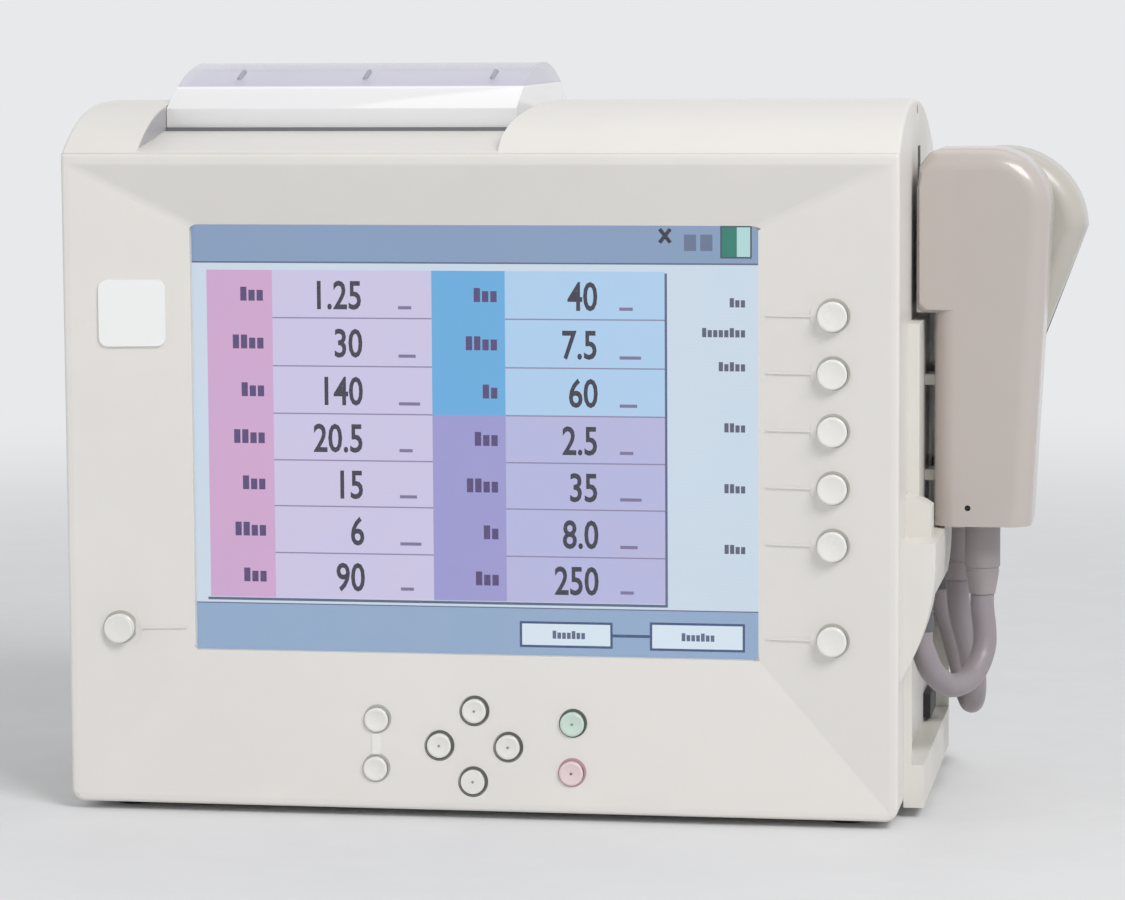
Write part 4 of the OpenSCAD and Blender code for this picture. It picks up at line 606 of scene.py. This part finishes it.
def ring_cuts(bm):
    """Edges that cut each flat area with holes into areas without any."""
    def is_flat(edge):
        return len(edge.link_faces) == 2 and math.degrees(edge.calc_face_angle(180)) < FLAT

    cuts = set()
    for flat in spread(bm.faces, is_flat):
        todo = [(flat, 0)]
        while todo:
            area, depth = todo.pop()
            loops = outline_loops(area)
            if len(area) < 2 or loops is not None and len(loops) == 1:
                continue
            normal = next(iter(area)).normal
            axes = sorted(range(3), key=lambda i: abs(normal[i]))[:2]
            axis = axes[depth % 2]
            if loops:
                hole = min(loops, key=lambda l: max(v.co[axis] for v in l)
                           - min(v.co[axis] for v in l))
                middle = sum(v.co[axis] for v in hole) / len(hole)
            else:
                middle = sum(f.calc_center_median()[axis] for f in area) / len(area)
            low = {f: None for f in area if f.calc_center_median()[axis] < middle}
            high = {f: None for f in area if f not in low}
            for part in (low, high):
                todo += [(p, depth + 1) for p in spread(part, is_flat)]
            cuts.update(e for f in low for e in f.edges
                        if is_flat(e) and any(g in high for g in e.link_faces))
            if depth > MOST_CUTS:
                cuts.update(e for f in area for e in f.edges)
    return cuts


def mark_edges(obj, small, rule):
    """Writes on each edge of a node how far it is rounded, as a share of the greatest
    rounding: small where it is sharp, or what rule(ends in mm, angle in degrees) says.
    Returns the greatest big and small rounding in mm."""
    bm = bmesh.new()
    bm.from_mesh(obj.data)
    bmesh.ops.remove_doubles(bm, verts=bm.verts, dist=WELD)

    def key(edge):
        return frozenset(tuple(round(c, 6) for c in v.co) for v in edge.verts)

    widths = {}
    for e in bm.edges:
        if len(e.link_faces) != 2:
            continue
        angle = math.degrees(e.calc_face_angle(0))
        if angle < SLIGHT:
            continue
        ends = [in_mm(v.co) for v in e.verts]
        big = rule(ends, angle) if rule else None
        pair = (0, small if angle > EDGE_ANGLE else 0) if big is None else (big, 0)
        if any(pair):
            widths[key(e)] = pair
    kept = {key(e) for e in ring_cuts(bm)}
    bm.free()
    most = [max([w[i] for w in widths.values()] or [0]) for i in (0, 1)]
    places = [tuple(round(c, 6) for c in v.co) for v in obj.data.vertices]
    keys = [frozenset(places[v] for v in e.vertices) for e in obj.data.edges]
    for i, name in enumerate((BIG, SMALL)):
        if most[i]:
            layer = obj.data.attributes.new(name, "FLOAT", "EDGE")
            layer.data.foreach_set("value", [widths.get(k, (0, 0))[i] / most[i]
                                             for k in keys])
    obj.data.edges.foreach_set("use_seam", [k in kept for k in keys])
    return most


def finish_node(name, slot, small, rule):
    """Gives a carried-over node its finish and the rounded edges of a moulding."""
    obj = NODES[name]
    for i in range(len(obj.material_slots)):
        obj.material_slots[i].material = MATERIALS[slot]
    custom = obj.data.attributes.get("custom_normal")
    if custom:
        obj.data.attributes.remove(custom)
    big_w, small_w = mark_edges(obj, small, rule)
    weld = obj.modifiers.new("weld", "WELD")
    weld.merge_threshold = WELD
    plane = obj.modifiers.new("plane", "DECIMATE")
    plane.decimate_type = "DISSOLVE"
    plane.angle_limit = math.radians(FLAT)
    plane.delimit = {"SEAM"}
    for width, layer, segments, clamp in ((big_w, BIG, 4, False), (small_w, SMALL, 2, True)):
        if width:
            bevel = obj.modifiers.new(layer, "BEVEL")
            bevel.width = width * MM
            bevel.segments = segments
            bevel.limit_method = "WEIGHT"
            bevel.edge_weight = layer
            bevel.use_clamp_overlap = clamp
    even_out(obj)


EDGE_ROUND = 0.25
CASE_ROUND = 1.5
RIDGE_ROUND = 1.6
RIM_ROUND = 0.5
# Depth of the front's slopes, the least length of a ridge on them, and the distance
# at which a vertex counts as lying on a plane
FACET_D = 8.0
RIDGE_LENGTH = 30
ON_PLANE = 0.1


def housing_rule(ends, angle):
    """Wide roundings of the housing's outline and of the ridges of its front."""
    a, b = ends

    def both(test):
        return test(a) and test(b)

    if both(lambda p: abs(p.y - SEAM_Y) < ON_PLANE):
        return 0
    front = both(lambda p: p.y < ON_PLANE)
    outer = both(lambda p: abs(abs(p.x) - HALF_W) < ON_PLANE)
    rear = both(lambda p: p.y > REAR_Y - ON_PLANE)
    upper = both(lambda p: p.z > SHOULDER_Z - ON_PLANE)
    if angle > SHARP and (front or outer and (rear or upper)):
        return CASE_ROUND
    if (both(lambda p: p.y < FACET_D + ON_PLANE) and SLIGHT < angle < SHARP
            and (a - b).length > RIDGE_LENGTH):
        return RIM_ROUND if front else RIDGE_ROUND
    return None


UNROUNDED = ("tear_bar", "module_a_shell", "module_a_back", "module_b_shell",
             "module_b_back")
SLOT_NODES = {
    "housing_plastic": ("front_bezel", "rear_housing"),
    "dock_plastic": ("side_dock",),
    "panel_metal": ("rear_panel",),
    "chassis_metal": ("chassis", "display_frame"),
    "screw_metal": ("case_screws",),
    "foot_rubber": ("rubber_feet",),
    "badge_face": ("badge_plate",),
    "screen_face": ("display_panel",),
    "key_white": tuple(f"soft_key_{i}" for i in range(1, 7)) + (
        "left_key", "menu_key_upper", "menu_key_lower", "arrow_key_up", "arrow_key_left",
        "arrow_key_right", "arrow_key_down"),
    "key_green": ("start_key",),
    "key_red": ("stop_key",),
    "board_green": ("main_board", "keypad_boards", "power_supply", "module_a_board",
                    "module_b_board"),
    "battery_wrap": ("battery_pack",),
    "black_plastic": ("fan_frame", "fan_rotor", "speaker", "power_inlet", "power_switch",
                      "cable_sockets"),
    "port_metal": ("data_ports",),
    "cover_clear": ("printer_cover",),
    "pin_metal": ("cover_pins", "tear_bar", "paper_spindle"),
    "tub_plastic": ("paper_tub",),
    "paper_white": ("paper_roll", "paper_strip"),
    "platen_rubber": ("platen_roller",),
    "head_metal": ("print_head", "printer_motor"),
    "pinion_brass": ("motor_pinion",),
    "module_a_plastic": ("module_a_shell", "module_a_back"),
    "module_b_plastic": ("module_b_shell", "module_b_back"),
    "relief_plastic": ("module_a_relief", "module_b_relief"),
    "plug_grey": ("plug_a", "plug_b"),
}
for slot, names in SLOT_NODES.items():
    for name in names:
        finish_node(name, slot, 0 if name in UNROUNDED else EDGE_ROUND,
                    housing_rule if slot == "housing_plastic" else None)


# ---- Small parts of the front and the modules ----------------------------------

FRONT = Vector((0, -1, 0))
# Outline of the front's slopes: half the width, foot and top
RIM_X, RIM_LOW, RIM_TOP = 153.0, 6.0, 243.0
# How deep a solid that lies on a slope reaches into it
SUNK = -0.2
SOFT_KEY_R, PAD_KEY_R = 5.5, 4.5
KEY_SIDES = 48
# Rise of a key's top over its cap, what stays free up to the front plane, and the depth
# of the dish as a share of the rise
KEY_RISE, KEY_FREE, KEY_DISH = 0.6, 0.02, 0.17
MARK_R = 0.55
# Painted shade ring round a key, for the shade in the gap round it: distance from the key's
# edge, share of the shift, height over the slope. The shift moves the outer edge to the right
# and up.
SHADE_RING = ((0.1, 0, SUNK), (0.8, 1, SUNK), (0.8, 1, 0.07), (0.1, 0, 0.07))
SHADE_SHIFT_X, SHADE_SHIFT_Z = 0.22, 0.3


def facet_y(x, z):
    """Depth of the front's sloping faces at a place, in mm."""
    shares = [(RIM_X - abs(x)) / (RIM_X - (-LCD_X0 if x < 0 else LCD_X1)),
              (z - RIM_LOW) / (LCD_Z0 - RIM_LOW), (RIM_TOP - z) / (RIM_TOP - LCD_Z1)]
    return FACET_D * max(0, min(shares + [1]))


def add_key_top(key, slot, shade_ring_color, mark_color):
    """Dished top of a key, its mark if it has one, and a dark ring on the slope that is a
    painted shade for the gap round the key; the ring is widest at the upper right."""
    middle, front = middle_of(key), in_mm(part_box(key)[0]).y
    radius = SOFT_KEY_R if key.startswith(("soft", "left")) else PAD_KEY_R
    x, z = middle.x, middle.z
    rise = min(KEY_RISE, front - KEY_FREE)
    dish = KEY_DISH * rise
    top = [(-0.3, 0), (-0.3, radius), (0.45 * rise, radius), (0.8 * rise, radius - 0.2),
           (rise, radius - 0.6), (0.96 * rise, radius - 0.95)]
    top += [(dish + 0.75 * rise * (r / (radius - 1)) ** 2, r)
            for r in (radius - 1.3, radius - 1.9, radius - 2.6, 1.2)] + [(dish, 0)]
    bm = bmesh.new()
    lathe(bm, top, at(x, front, z), FRONT, KEY_SIDES)
    piece(f"{key}_top", bm, slot, f"{key}_cap")
    if mark_color:
        bm = bmesh.new()
        lathe(bm, [(0, 0), (0, MARK_R), (0.4 * rise, MARK_R - 0.05), (0.4 * rise, 0)],
              at(x, front, z), FRONT, 16)
        piece(f"{key}_mark", bm, slot, f"{key}_cap",
              surface(f"{key}_mark", mark_color, 0.5, grain=0.2, depth=0.005))
    # Painted shade: a dark ring on the slope round the key, widest at the upper right
    bm = bmesh.new()
    rings = []
    for wider, share, height in SHADE_RING:
        ring = []
        for i in range(KEY_SIDES):
            turn = math.tau * i / KEY_SIDES
            px = x + (radius + wider) * math.cos(turn) + SHADE_SHIFT_X * share
            pz = z + (radius + wider) * math.sin(turn) + SHADE_SHIFT_Z * share
            ring.append(bm.verts.new(at(px, facet_y(px, pz) - height, pz)))
        rings.append(ring)
    join(bm, rings + rings[:1])
    piece(f"{key}_shade_ring", bm, "housing_plastic", "housing",
          surface(f"{key}_shade_ring", shade_ring_color, 0.6, grain=0.3, depth=0.01), False)


# Colour of the painted shade ring round each kind of key, and of the key's mark
KEY_LOOKS = {
    "soft": (rgb(186, 183, 176), None),
    "left": (rgb(186, 183, 176), None),
    "menu": (rgb(178, 177, 172), None),
    "arrow": (rgb(96, 97, 92), rgb(150, 151, 147)),
    "start": (rgb(84, 98, 90), rgb(120, 160, 142)),
    "stop": (rgb(188, 150, 156), rgb(150, 100, 108)),
}
KEY_SLOTS = {name: slot for slot, names in SLOT_NODES.items() for name in names}
KEYS = [name for name in NODES if "key" in name and name != "keypad_boards"]
for key in KEYS:
    add_key_top(key, KEY_SLOTS[key], *KEY_LOOKS[key.split("_")[0]])


LINK_W, LINK_END, LINK_T = 3.2, 5.2, 0.35


def add_menu_link():
    """Flat strip on the slope between the two menu keys."""
    upper, lower = middle_of("menu_key_upper"), middle_of("menu_key_lower")
    places = [(lower.x - LINK_W / 2, lower.z + LINK_END),
              (lower.x + LINK_W / 2, lower.z + LINK_END),
              (upper.x + LINK_W / 2, upper.z - LINK_END),
              (upper.x - LINK_W / 2, upper.z - LINK_END)]
    bm = bmesh.new()
    rings = [[bm.verts.new(at(x, facet_y(x, z) - height, z)) for x, z in places]
             for height in (SUNK, LINK_T)]
    bm.faces.new(rings[0][::-1])
    bm.faces.new(rings[1])
    join(bm, rings)
    piece("menu_link", bm, "key_white", "housing", smooth=False)


add_menu_link()


# Outline (x, z) of module A's ear, and how far each corner's front edge draws in
EAR = (((157.95, 187.6), (1.6, 2.6)), ((159.2, 185.95), (3, 1.5)),
       ((182, 185.95), (-8, 1.2)), ((182, 246.9), (-8, -8)), ((166.5, 246.9), (2, -8)),
       ((162.2, 245.3), (2, -7)), ((158.7, 240.5), (1.8, -4)), ((157.95, 234), (1.5, -1)))
EAR_ROUND, EAR_STEPS, EAR_BACK = 8.0, 6, 83.9
# How far the ear stands behind the shell's front
EAR_BEHIND = 0.02
LAMP_X, LAMP_Z, LAMP_R, LAMP_T = 177.5, 113.0, 1.05, 0.4
LAMP_BEHIND = 0.93


def add_module_face():
    """Module A's ear, level with the shell's front, and the dark disc of its lamp."""
    front = in_mm(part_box("module_a_shell")[0]).y + EAR_BEHIND
    turns = [math.pi / 2 / EAR_STEPS * step for step in range(EAR_STEPS + 1)]
    draws = [(front + EAR_ROUND * (1 - math.cos(t)), 1 - math.sin(t)) for t in turns]
    bm = bmesh.new()
    rings = [[bm.verts.new(at(x + dx * draw, y, z + dz * draw)) for (x, z), (dx, dz) in EAR]
             for y, draw in draws + [(EAR_BACK, 0)]]
    bm.faces.new(rings[0])
    bm.faces.new(rings[-1])
    join(bm, rings)
    even_out(piece("module_a_ear", bm, "module_a_plastic", "module_a"))
    bm = bmesh.new()
    lathe(bm, [(0, 0), (0, LAMP_R), (LAMP_T, LAMP_R), (LAMP_T, 0)],
          at(LAMP_X, front + LAMP_BEHIND, LAMP_Z), FRONT, 24)
    piece("module_a_lamp", bm, "black_plastic", "module_a")


add_module_face()


# Thin dark solids that are painted shade, in the printer's slot, a hook slot and the dock's
# pocket: boxes from corner to corner
PRINTER_SLOT_SHADE = ((-126.4, 41.9, 253.6), (8.4, 42.5, 255.4))
HOOK_SLOT_SHADE = ((155.8, 82, 234), (156.15, 92, 247))
DOCK_POCKET_SHADE = ((155.9, 118, 21.5), (158.8, 147, 31))
SCREW_Y, SCREW_Z, SCREW_R, SCREW_T = 78.5, 261, 1.7, 0.12
# Grey plate of painted shade on the printer bay's left wall: its two faces, the wall's top
# edge (y, z), how far the plate stays below it, and the plate's foot
BAY_SHADE_X = (-127.05, -126.7)
BAY_WALL = ((4.2, 249.6), (9, 252.5), (15, 255.6), (24, 259.1), (30.7, 261.1),
            (37.4, 262.6), (41.8, 263.3))
BAY_SHADE_BELOW = 0.6
BAY_SHADE_FOOT = ((41.8, 254.5), (24, 251.6))
# Ribs on the clear cover: the profile they are turned from, places and axis
RIB = [(-5, 0), (-5, 0.6), (-4.4, 1), (4.4, 1), (5, 0.6), (5, 0)]
RIB_XS, RIB_Y, RIB_Z = (-104, -54.5, -5), 72, 274.3
RIB_AXIS = Vector((0, 0.95, 0.3))


def add_dark_box(name, corners, material=None):
    bm = bmesh.new()
    add_box(bm, *corners)
    piece(name, bm, "black_plastic", "housing", material, False)


def add_dark_parts():
    """Painted shade in the printer's slot, a screw and painted shade in a hook slot on the
    housing's side, a grey plate of painted shade in the printer bay, painted shade in the
    dock's pocket, and the ribs that lie on the clear cover."""
    # Painted shade: a dark grey strip along the printer's slot, in front of the tear bar
    add_dark_box("printer_slot_shade", PRINTER_SLOT_SHADE,
                 surface("slot_shade", rgb(112, 112, 115), 0.6, grain=0.3, depth=0.01))
    bm = bmesh.new()
    lathe(bm, [(-0.5, 0), (-0.5, SCREW_R), (SCREW_T, SCREW_R), (SCREW_T, 0)],
          at(HALF_W, SCREW_Y, SCREW_Z), Vector((1, 0, 0)), 24)
    piece("side_screw", bm, "screw_metal", "housing")
    # Painted shade: grey plate on the printer bay's left wall
    wall = [(y, z - BAY_SHADE_BELOW) for y, z in BAY_WALL] + list(BAY_SHADE_FOOT)
    bm = bmesh.new()
    sides = [[bm.verts.new(at(x, y, z)) for y, z in wall] for x in BAY_SHADE_X]
    bm.faces.new(sides[0])
    bm.faces.new(sides[1])
    join(bm, sides)
    piece("bay_wall_shade", bm, "tub_plastic", "housing",
          surface("bay_wall_shade_grey", rgb(172, 171, 176), 0.4, grain=0.4, depth=0.01), False)
    # Painted shade: dark plates in the hook slot on the housing's side and in the dock's
    # pocket
    add_dark_box("hook_slot_shade", HOOK_SLOT_SHADE)
    add_dark_box("dock_pocket_shade", DOCK_POCKET_SHADE)
    bm = bmesh.new()
    for x in RIB_XS:
        lathe(bm, RIB, at(x, RIB_Y, RIB_Z), RIB_AXIS, 16)
    piece("cover_ribs", bm, "tub_plastic", "cover",
          surface("rib_grey", rgb(158, 158, 172), 0.4, grain=0.3, depth=0.01))


add_dark_parts()


# ---- Display -------------------------------------------------------------------

SCREEN_Y = 13.0
PANE_T = 0.8
LAYER = 0.1
# Lines of the table and between the columns, and the edges of header and footer
ROWS = (203.3, 185.5, 167.5, 149.7, 132.2, 114.9, 97.2, 80.2)
TABLE = (-105, 69.7)
COLUMNS = (-104, -78.9, -18.4, 9.2, 69)
VALUES = (("1.25", "30", "140", "20.5", "15", "6", "90"),
          ("40", "7.5", "60", "2.5", "35", "8.0", "250"))
VALUE_RIGHT = (-44.5, 44)
HEADER_Z, FOOTER_Z = 206.3, 77.9
# Digits: height in mm, height as a share of the font's size, boldness in mm, width
DIGIT_H, DIGIT_SHARE, DIGIT_BOLD, DIGIT_NARROW = 10.8, 0.73, 0.24, 0.76
# Blocks of a word as shares of its height: step, gap and the height of a low block
BLOCK_STEP, BLOCK_GAP, BLOCK_LOW = 0.6, 0.14, 0.78
NAME_H, SIDE_NAME_H, MENU_NAME_H = 5.2, 3.4, 3
# Words beside the table: (height of the middle, number of blocks)
SIDE_NAMES = ((192, 3), (181, 8), (168.5, 5), (146, 4), (123.5, 4), (101, 4))
SIDE_NAME_RIGHT = 98.5
UNIT_LEFT = (-31, 52)
CROSS_X, CROSS_Z = 69, 216.5
CROSS_HALF_L, CROSS_HALF_W, CROSS_TURN = 3.2, 0.7, 0.9


def plates(name, color, rects, layer, lines=0.0):
    """Picture elements (x0, z0, x1, z1) of one colour; higher layers lie in front."""
    bm = bmesh.new()
    y1 = SCREEN_Y - layer * LAYER
    for x0, z0, x1, z1 in rects:
        add_box(bm, (x0, y1 - LAYER / 2, z0), (x1, y1, z1))
    return piece(name, bm, "screen_face", "housing", lit(name, rgb(*color), lines), False)


def outline(x0, z0, x1, z1, t):
    """Rectangles that frame a box, t mm wide and inside it."""
    return [(x0, z0, x1, z0 + t), (x0, z1 - t, x1, z1), (x0, z0 + t, x0 + t, z1 - t),
            (x1 - t, z0 + t, x1, z1 - t)]


def word(right, foot, letters, height):
    """Blocks in place of the letters of a word, none of them a real letter."""
    step = BLOCK_STEP * height
    return [(right - (i + 1) * step + BLOCK_GAP * height, foot, right - i * step,
             foot + height * (1 if i in (letters - 1, 2) else BLOCK_LOW))
            for i in range(letters)]


def add_numbers(name, places, color, layer):
    """Numbers as thin solids: places lists (text, right end, foot) in mm."""
    bm = bmesh.new()
    for text, right, foot in places:
        curve = bpy.data.curves.new(name, "FONT")
        curve.body = text
        curve.size = DIGIT_H * MM / DIGIT_SHARE
        curve.extrude = LAYER / 4 * MM
        curve.offset = DIGIT_BOLD * MM
        curve.resolution_u = 3
        curve.align_x = "RIGHT"
        written = bpy.data.objects.new(name, curve)
        mesh = written.to_mesh()
        mesh.transform(Matrix.Translation(at(right, SCREEN_Y - layer * LAYER, foot))
                       @ Matrix.Rotation(math.pi / 2, 4, "X")
                       @ Matrix.Diagonal((DIGIT_NARROW, 1, 1, 1)))
        bm.from_mesh(mesh)
        written.to_mesh_clear()
        bpy.data.objects.remove(written)
        bpy.data.curves.remove(curve)
    bmesh.ops.remove_doubles(bm, verts=bm.verts, dist=1e-7)
    piece(name, bm, "screen_face", "housing", lit(name, rgb(*color)), False)


def add_display():
    """The pane, and behind it the picture: a table of numbers, words as blocks."""
    bm = bmesh.new()
    add_box(bm, (window_low.x, window_low.y, window_low.z),
            (window_high.x, window_low.y + PANE_T, window_high.z))
    pane = piece("display_pane", bm, "window_glass", "housing", smooth=False)
    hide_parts("display_window")

    x0, x1, z0, z1 = LCD_X0 - 1, LCD_X1 + 1, LCD_Z0 - 1, LCD_Z1 + 1
    c = COLUMNS
    top, low, split = ROWS[0], ROWS[-1], ROWS[3]
    plates("screen_back", (203, 217, 232), [(x0, z0, x1, z1)], 0, 0.04)
    plates("screen_header", (130, 154, 187), [(x0, HEADER_Z, x1, z1)], 1, 0.06)
    plates("screen_footer", (143, 168, 200), [(x0, z0, x1, FOOTER_Z)], 1, 0.06)
    plates("labels_left", (207, 164, 205), [(c[0], low, c[1], top)], 1)
    plates("values_left", (203, 196, 227), [(c[1], low, c[2], top)], 1)
    plates("labels_upper", (98, 170, 221), [(c[2], split, c[3], top)], 1)
    plates("labels_lower", (154, 150, 206), [(c[2], low, c[3], split)], 1)
    plates("values_upper", (172, 205, 236), [(c[3], split, c[4], top)], 1)
    plates("values_lower", (181, 181, 221), [(c[3], low, c[4], split)], 1)
    plates("table_rules", (138, 130, 166),
           [(c[i], z - 0.25, c[i + 1], z + 0.25) for i in (1, 3) for z in ROWS[1:-1]], 2)
    plates("table_frame", (84, 96, 128),
           outline(TABLE[0], low - 1.2, TABLE[1], top + 0.3, 1.0)[:1]
           + outline(TABLE[0], low - 1.2, TABLE[1], top + 0.3, 0.9)[3:]
           + [(x0, 205.9, x1, 206.5), (x0, 77.7, x1, 78.1)], 3)

    names, units = [], []
    for i, (a, b) in enumerate(zip(ROWS, ROWS[1:])):
        middle = (a + b) / 2
        names += word(c[1] - 3.5, middle - NAME_H / 2, 3 + i % 2, NAME_H)
        names += word(c[3] - 3, middle - NAME_H / 2, 2 + (i + 1) % 3, NAME_H)
        for left, longer in zip(UNIT_LEFT, (i % 3, i * 2 % 3)):
            units.append((left, b + 3.4, left + 5 + 1.5 * longer, b + 4.6))
    plates("label_bars", (78, 60, 112), names, 3)
    plates("unit_bars", (120, 112, 150), units, 3)
    plates("side_bars", (84, 88, 112),
           [r for z, n in SIDE_NAMES
            for r in word(SIDE_NAME_RIGHT, z - 1.6, n, SIDE_NAME_H)], 3)
    places = [(text, VALUE_RIGHT[k], (ROWS[i] + ROWS[i + 1]) / 2 - DIGIT_H / 2)
              for k, column in enumerate(VALUES) for i, text in enumerate(column)]
    add_numbers("display_numbers", places, (44, 42, 62), 4)

    boxes = [(14, 63.2, 49, 73), (62.9, 62.8, 98.4, 73.4)]
    plates("menu_boxes", (214, 228, 240), boxes, 2)
    plates("menu_frames", (52, 78, 120),
           [r for b in boxes for r in outline(*b, 0.9)] + [(49, 67.5, 62.9, 68.6)], 3)
    plates("menu_bars", (86, 96, 128), word(38.6, 66.6, 7, MENU_NAME_H)
           + word(87, 66.6, 7, MENU_NAME_H), 4)
    plates("battery_green", (20, 120, 104), [(90, 208.8, 95.5, 219.8)], 2)
    plates("battery_pale", (176, 214, 214), [(95.5, 208.8, 100.5, 219.8)], 2)
    plates("battery_frame", (60, 72, 92), outline(89.4, 208.3, 101, 220.3, 0.6), 3)
    plates("header_marks", (98, 112, 142),
           [(76, 211, 80.5, 217), (82, 211, 86.5, 217)], 2)
    bm = bmesh.new()
    for turn, layer in ((CROSS_TURN, 3), (-CROSS_TURN, 4)):
        start = len(bm.verts)
        add_box(bm, (-CROSS_HALF_L, -LAYER / 4, -CROSS_HALF_W),
                (CROSS_HALF_L, LAYER / 4, CROSS_HALF_W))
        bm.verts.ensure_lookup_table()
        move = (Matrix.Translation(at(CROSS_X, SCREEN_Y - layer * LAYER, CROSS_Z))
                @ Matrix.Rotation(turn, 4, "Y") @ Matrix.Translation(-at(0, 0, 0)))
        bmesh.ops.transform(bm, matrix=move, verts=bm.verts[start:])
    piece("header_cross", bm, "screen_face", "housing", lit("header_cross", rgb(30, 36, 52)),
          False)


add_display()


# ---- Floor, light and world ----------------------------------------------------

BACKDROP = rgb(232, 233, 235)
# Distances in metres from the middle between which the floor fades into the backdrop
FADE_START, FADE_END = 0.45, 1.5
FLOOR_R = 9
WORLD_LIGHT = 0.45


def seen_rays(tree):
    """1 for rays that show the backdrop: from the camera, a gloss or through glass."""
    rays = node(tree, "LightPath")
    seen = rays.outputs["Is Camera Ray"]
    for kind in ("Is Glossy Ray", "Is Transmission Ray"):
        seen = maths(tree, "MAXIMUM", seen, rays.outputs[kind])
    return seen


def add_floor():
    """Disc that turns into the backdrop's colour away from the object."""
    bm = bmesh.new()
    bmesh.ops.create_circle(bm, cap_ends=True, radius=FLOOR_R, segments=96)
    mesh = bpy.data.meshes.new("floor")
    bm.to_mesh(mesh)
    bm.free()
    floor = bpy.data.objects.new("floor", mesh)
    bpy.context.scene.collection.objects.link(floor)
    material = surface("floor", rgb(228, 229, 231), 0.6, grain=4, depth=0.01, mottle=0.01,
                       grime_and_shade=0)
    tree = material.node_tree
    out = next(n for n in tree.nodes if n.bl_idname == "ShaderNodeOutputMaterial")
    lit_floor = out.inputs["Surface"].links[0].from_socket
    away = node(tree, "VectorMath", {0: own_place(tree)},
                operation="LENGTH").outputs["Value"]
    fade = node(tree, "MapRange", {0: away, 1: FADE_START, 2: FADE_END, 3: 0, 4: 1},
                interpolation_type="SMOOTHSTEP").outputs[0]
    share = maths(tree, "MULTIPLY", fade, seen_rays(tree))
    glow = node(tree, "Emission", {"Color": BACKDROP, "Strength": 1.0})
    blend = node(tree, "MixShader", {0: share, 1: lit_floor,
                                     2: glow.outputs["Emission"]})
    tree.links.new(blend.outputs[0], out.inputs["Surface"])
    mesh.materials.append(material)


def add_lamp(name, place, aim, width, height, watts, color=(1, 1, 1)):
    """Area lamp; place, aim and sizes in metres of the part's frame."""
    data = bpy.data.lights.new(name, "AREA")
    data.shape = "RECTANGLE"
    data.size, data.size_y = width, height
    data.energy = watts
    data.color = color
    lamp = bpy.data.objects.new(name, data)
    bpy.context.scene.collection.objects.link(lamp)
    lamp.location = place
    lamp.rotation_euler = (Vector(aim) - Vector(place)).to_track_quat("-Z", "Y").to_euler()


def add_world(fill):
    """Even white light of the strength fill; rays that show the backdrop see that."""
    world = bpy.data.worlds.new("studio")
    world.use_nodes = True
    tree = world.node_tree
    tree.nodes.clear()
    light = node(tree, "Background", {"Color": (1, 1, 1, 1), "Strength": fill})
    wall = node(tree, "Background", {"Color": BACKDROP, "Strength": 1.0})
    mix = node(tree, "MixShader", {0: seen_rays(tree), 1: light.outputs[0],
                                   2: wall.outputs[0]})
    node(tree, "OutputWorld", {"Surface": mix.outputs[0]})
    bpy.context.scene.world = world


add_floor()
add_lamp("key", (1.2, -1.3, 1.7), (0, 0, 0.15), 1.0, 1.0, 31, (1, 0.99, 0.975))
add_lamp("fill", (-1.5, -1.1, 0.6), (0, 0, 0.12), 1.4, 1.4, 5)
add_lamp("top", (0.2, 0.6, 1.7), (0, 0, 0.2), 1.4, 1.0, 3)
add_world(WORLD_LIGHT)
bpy.context.scene.view_settings.view_transform = "Standard"
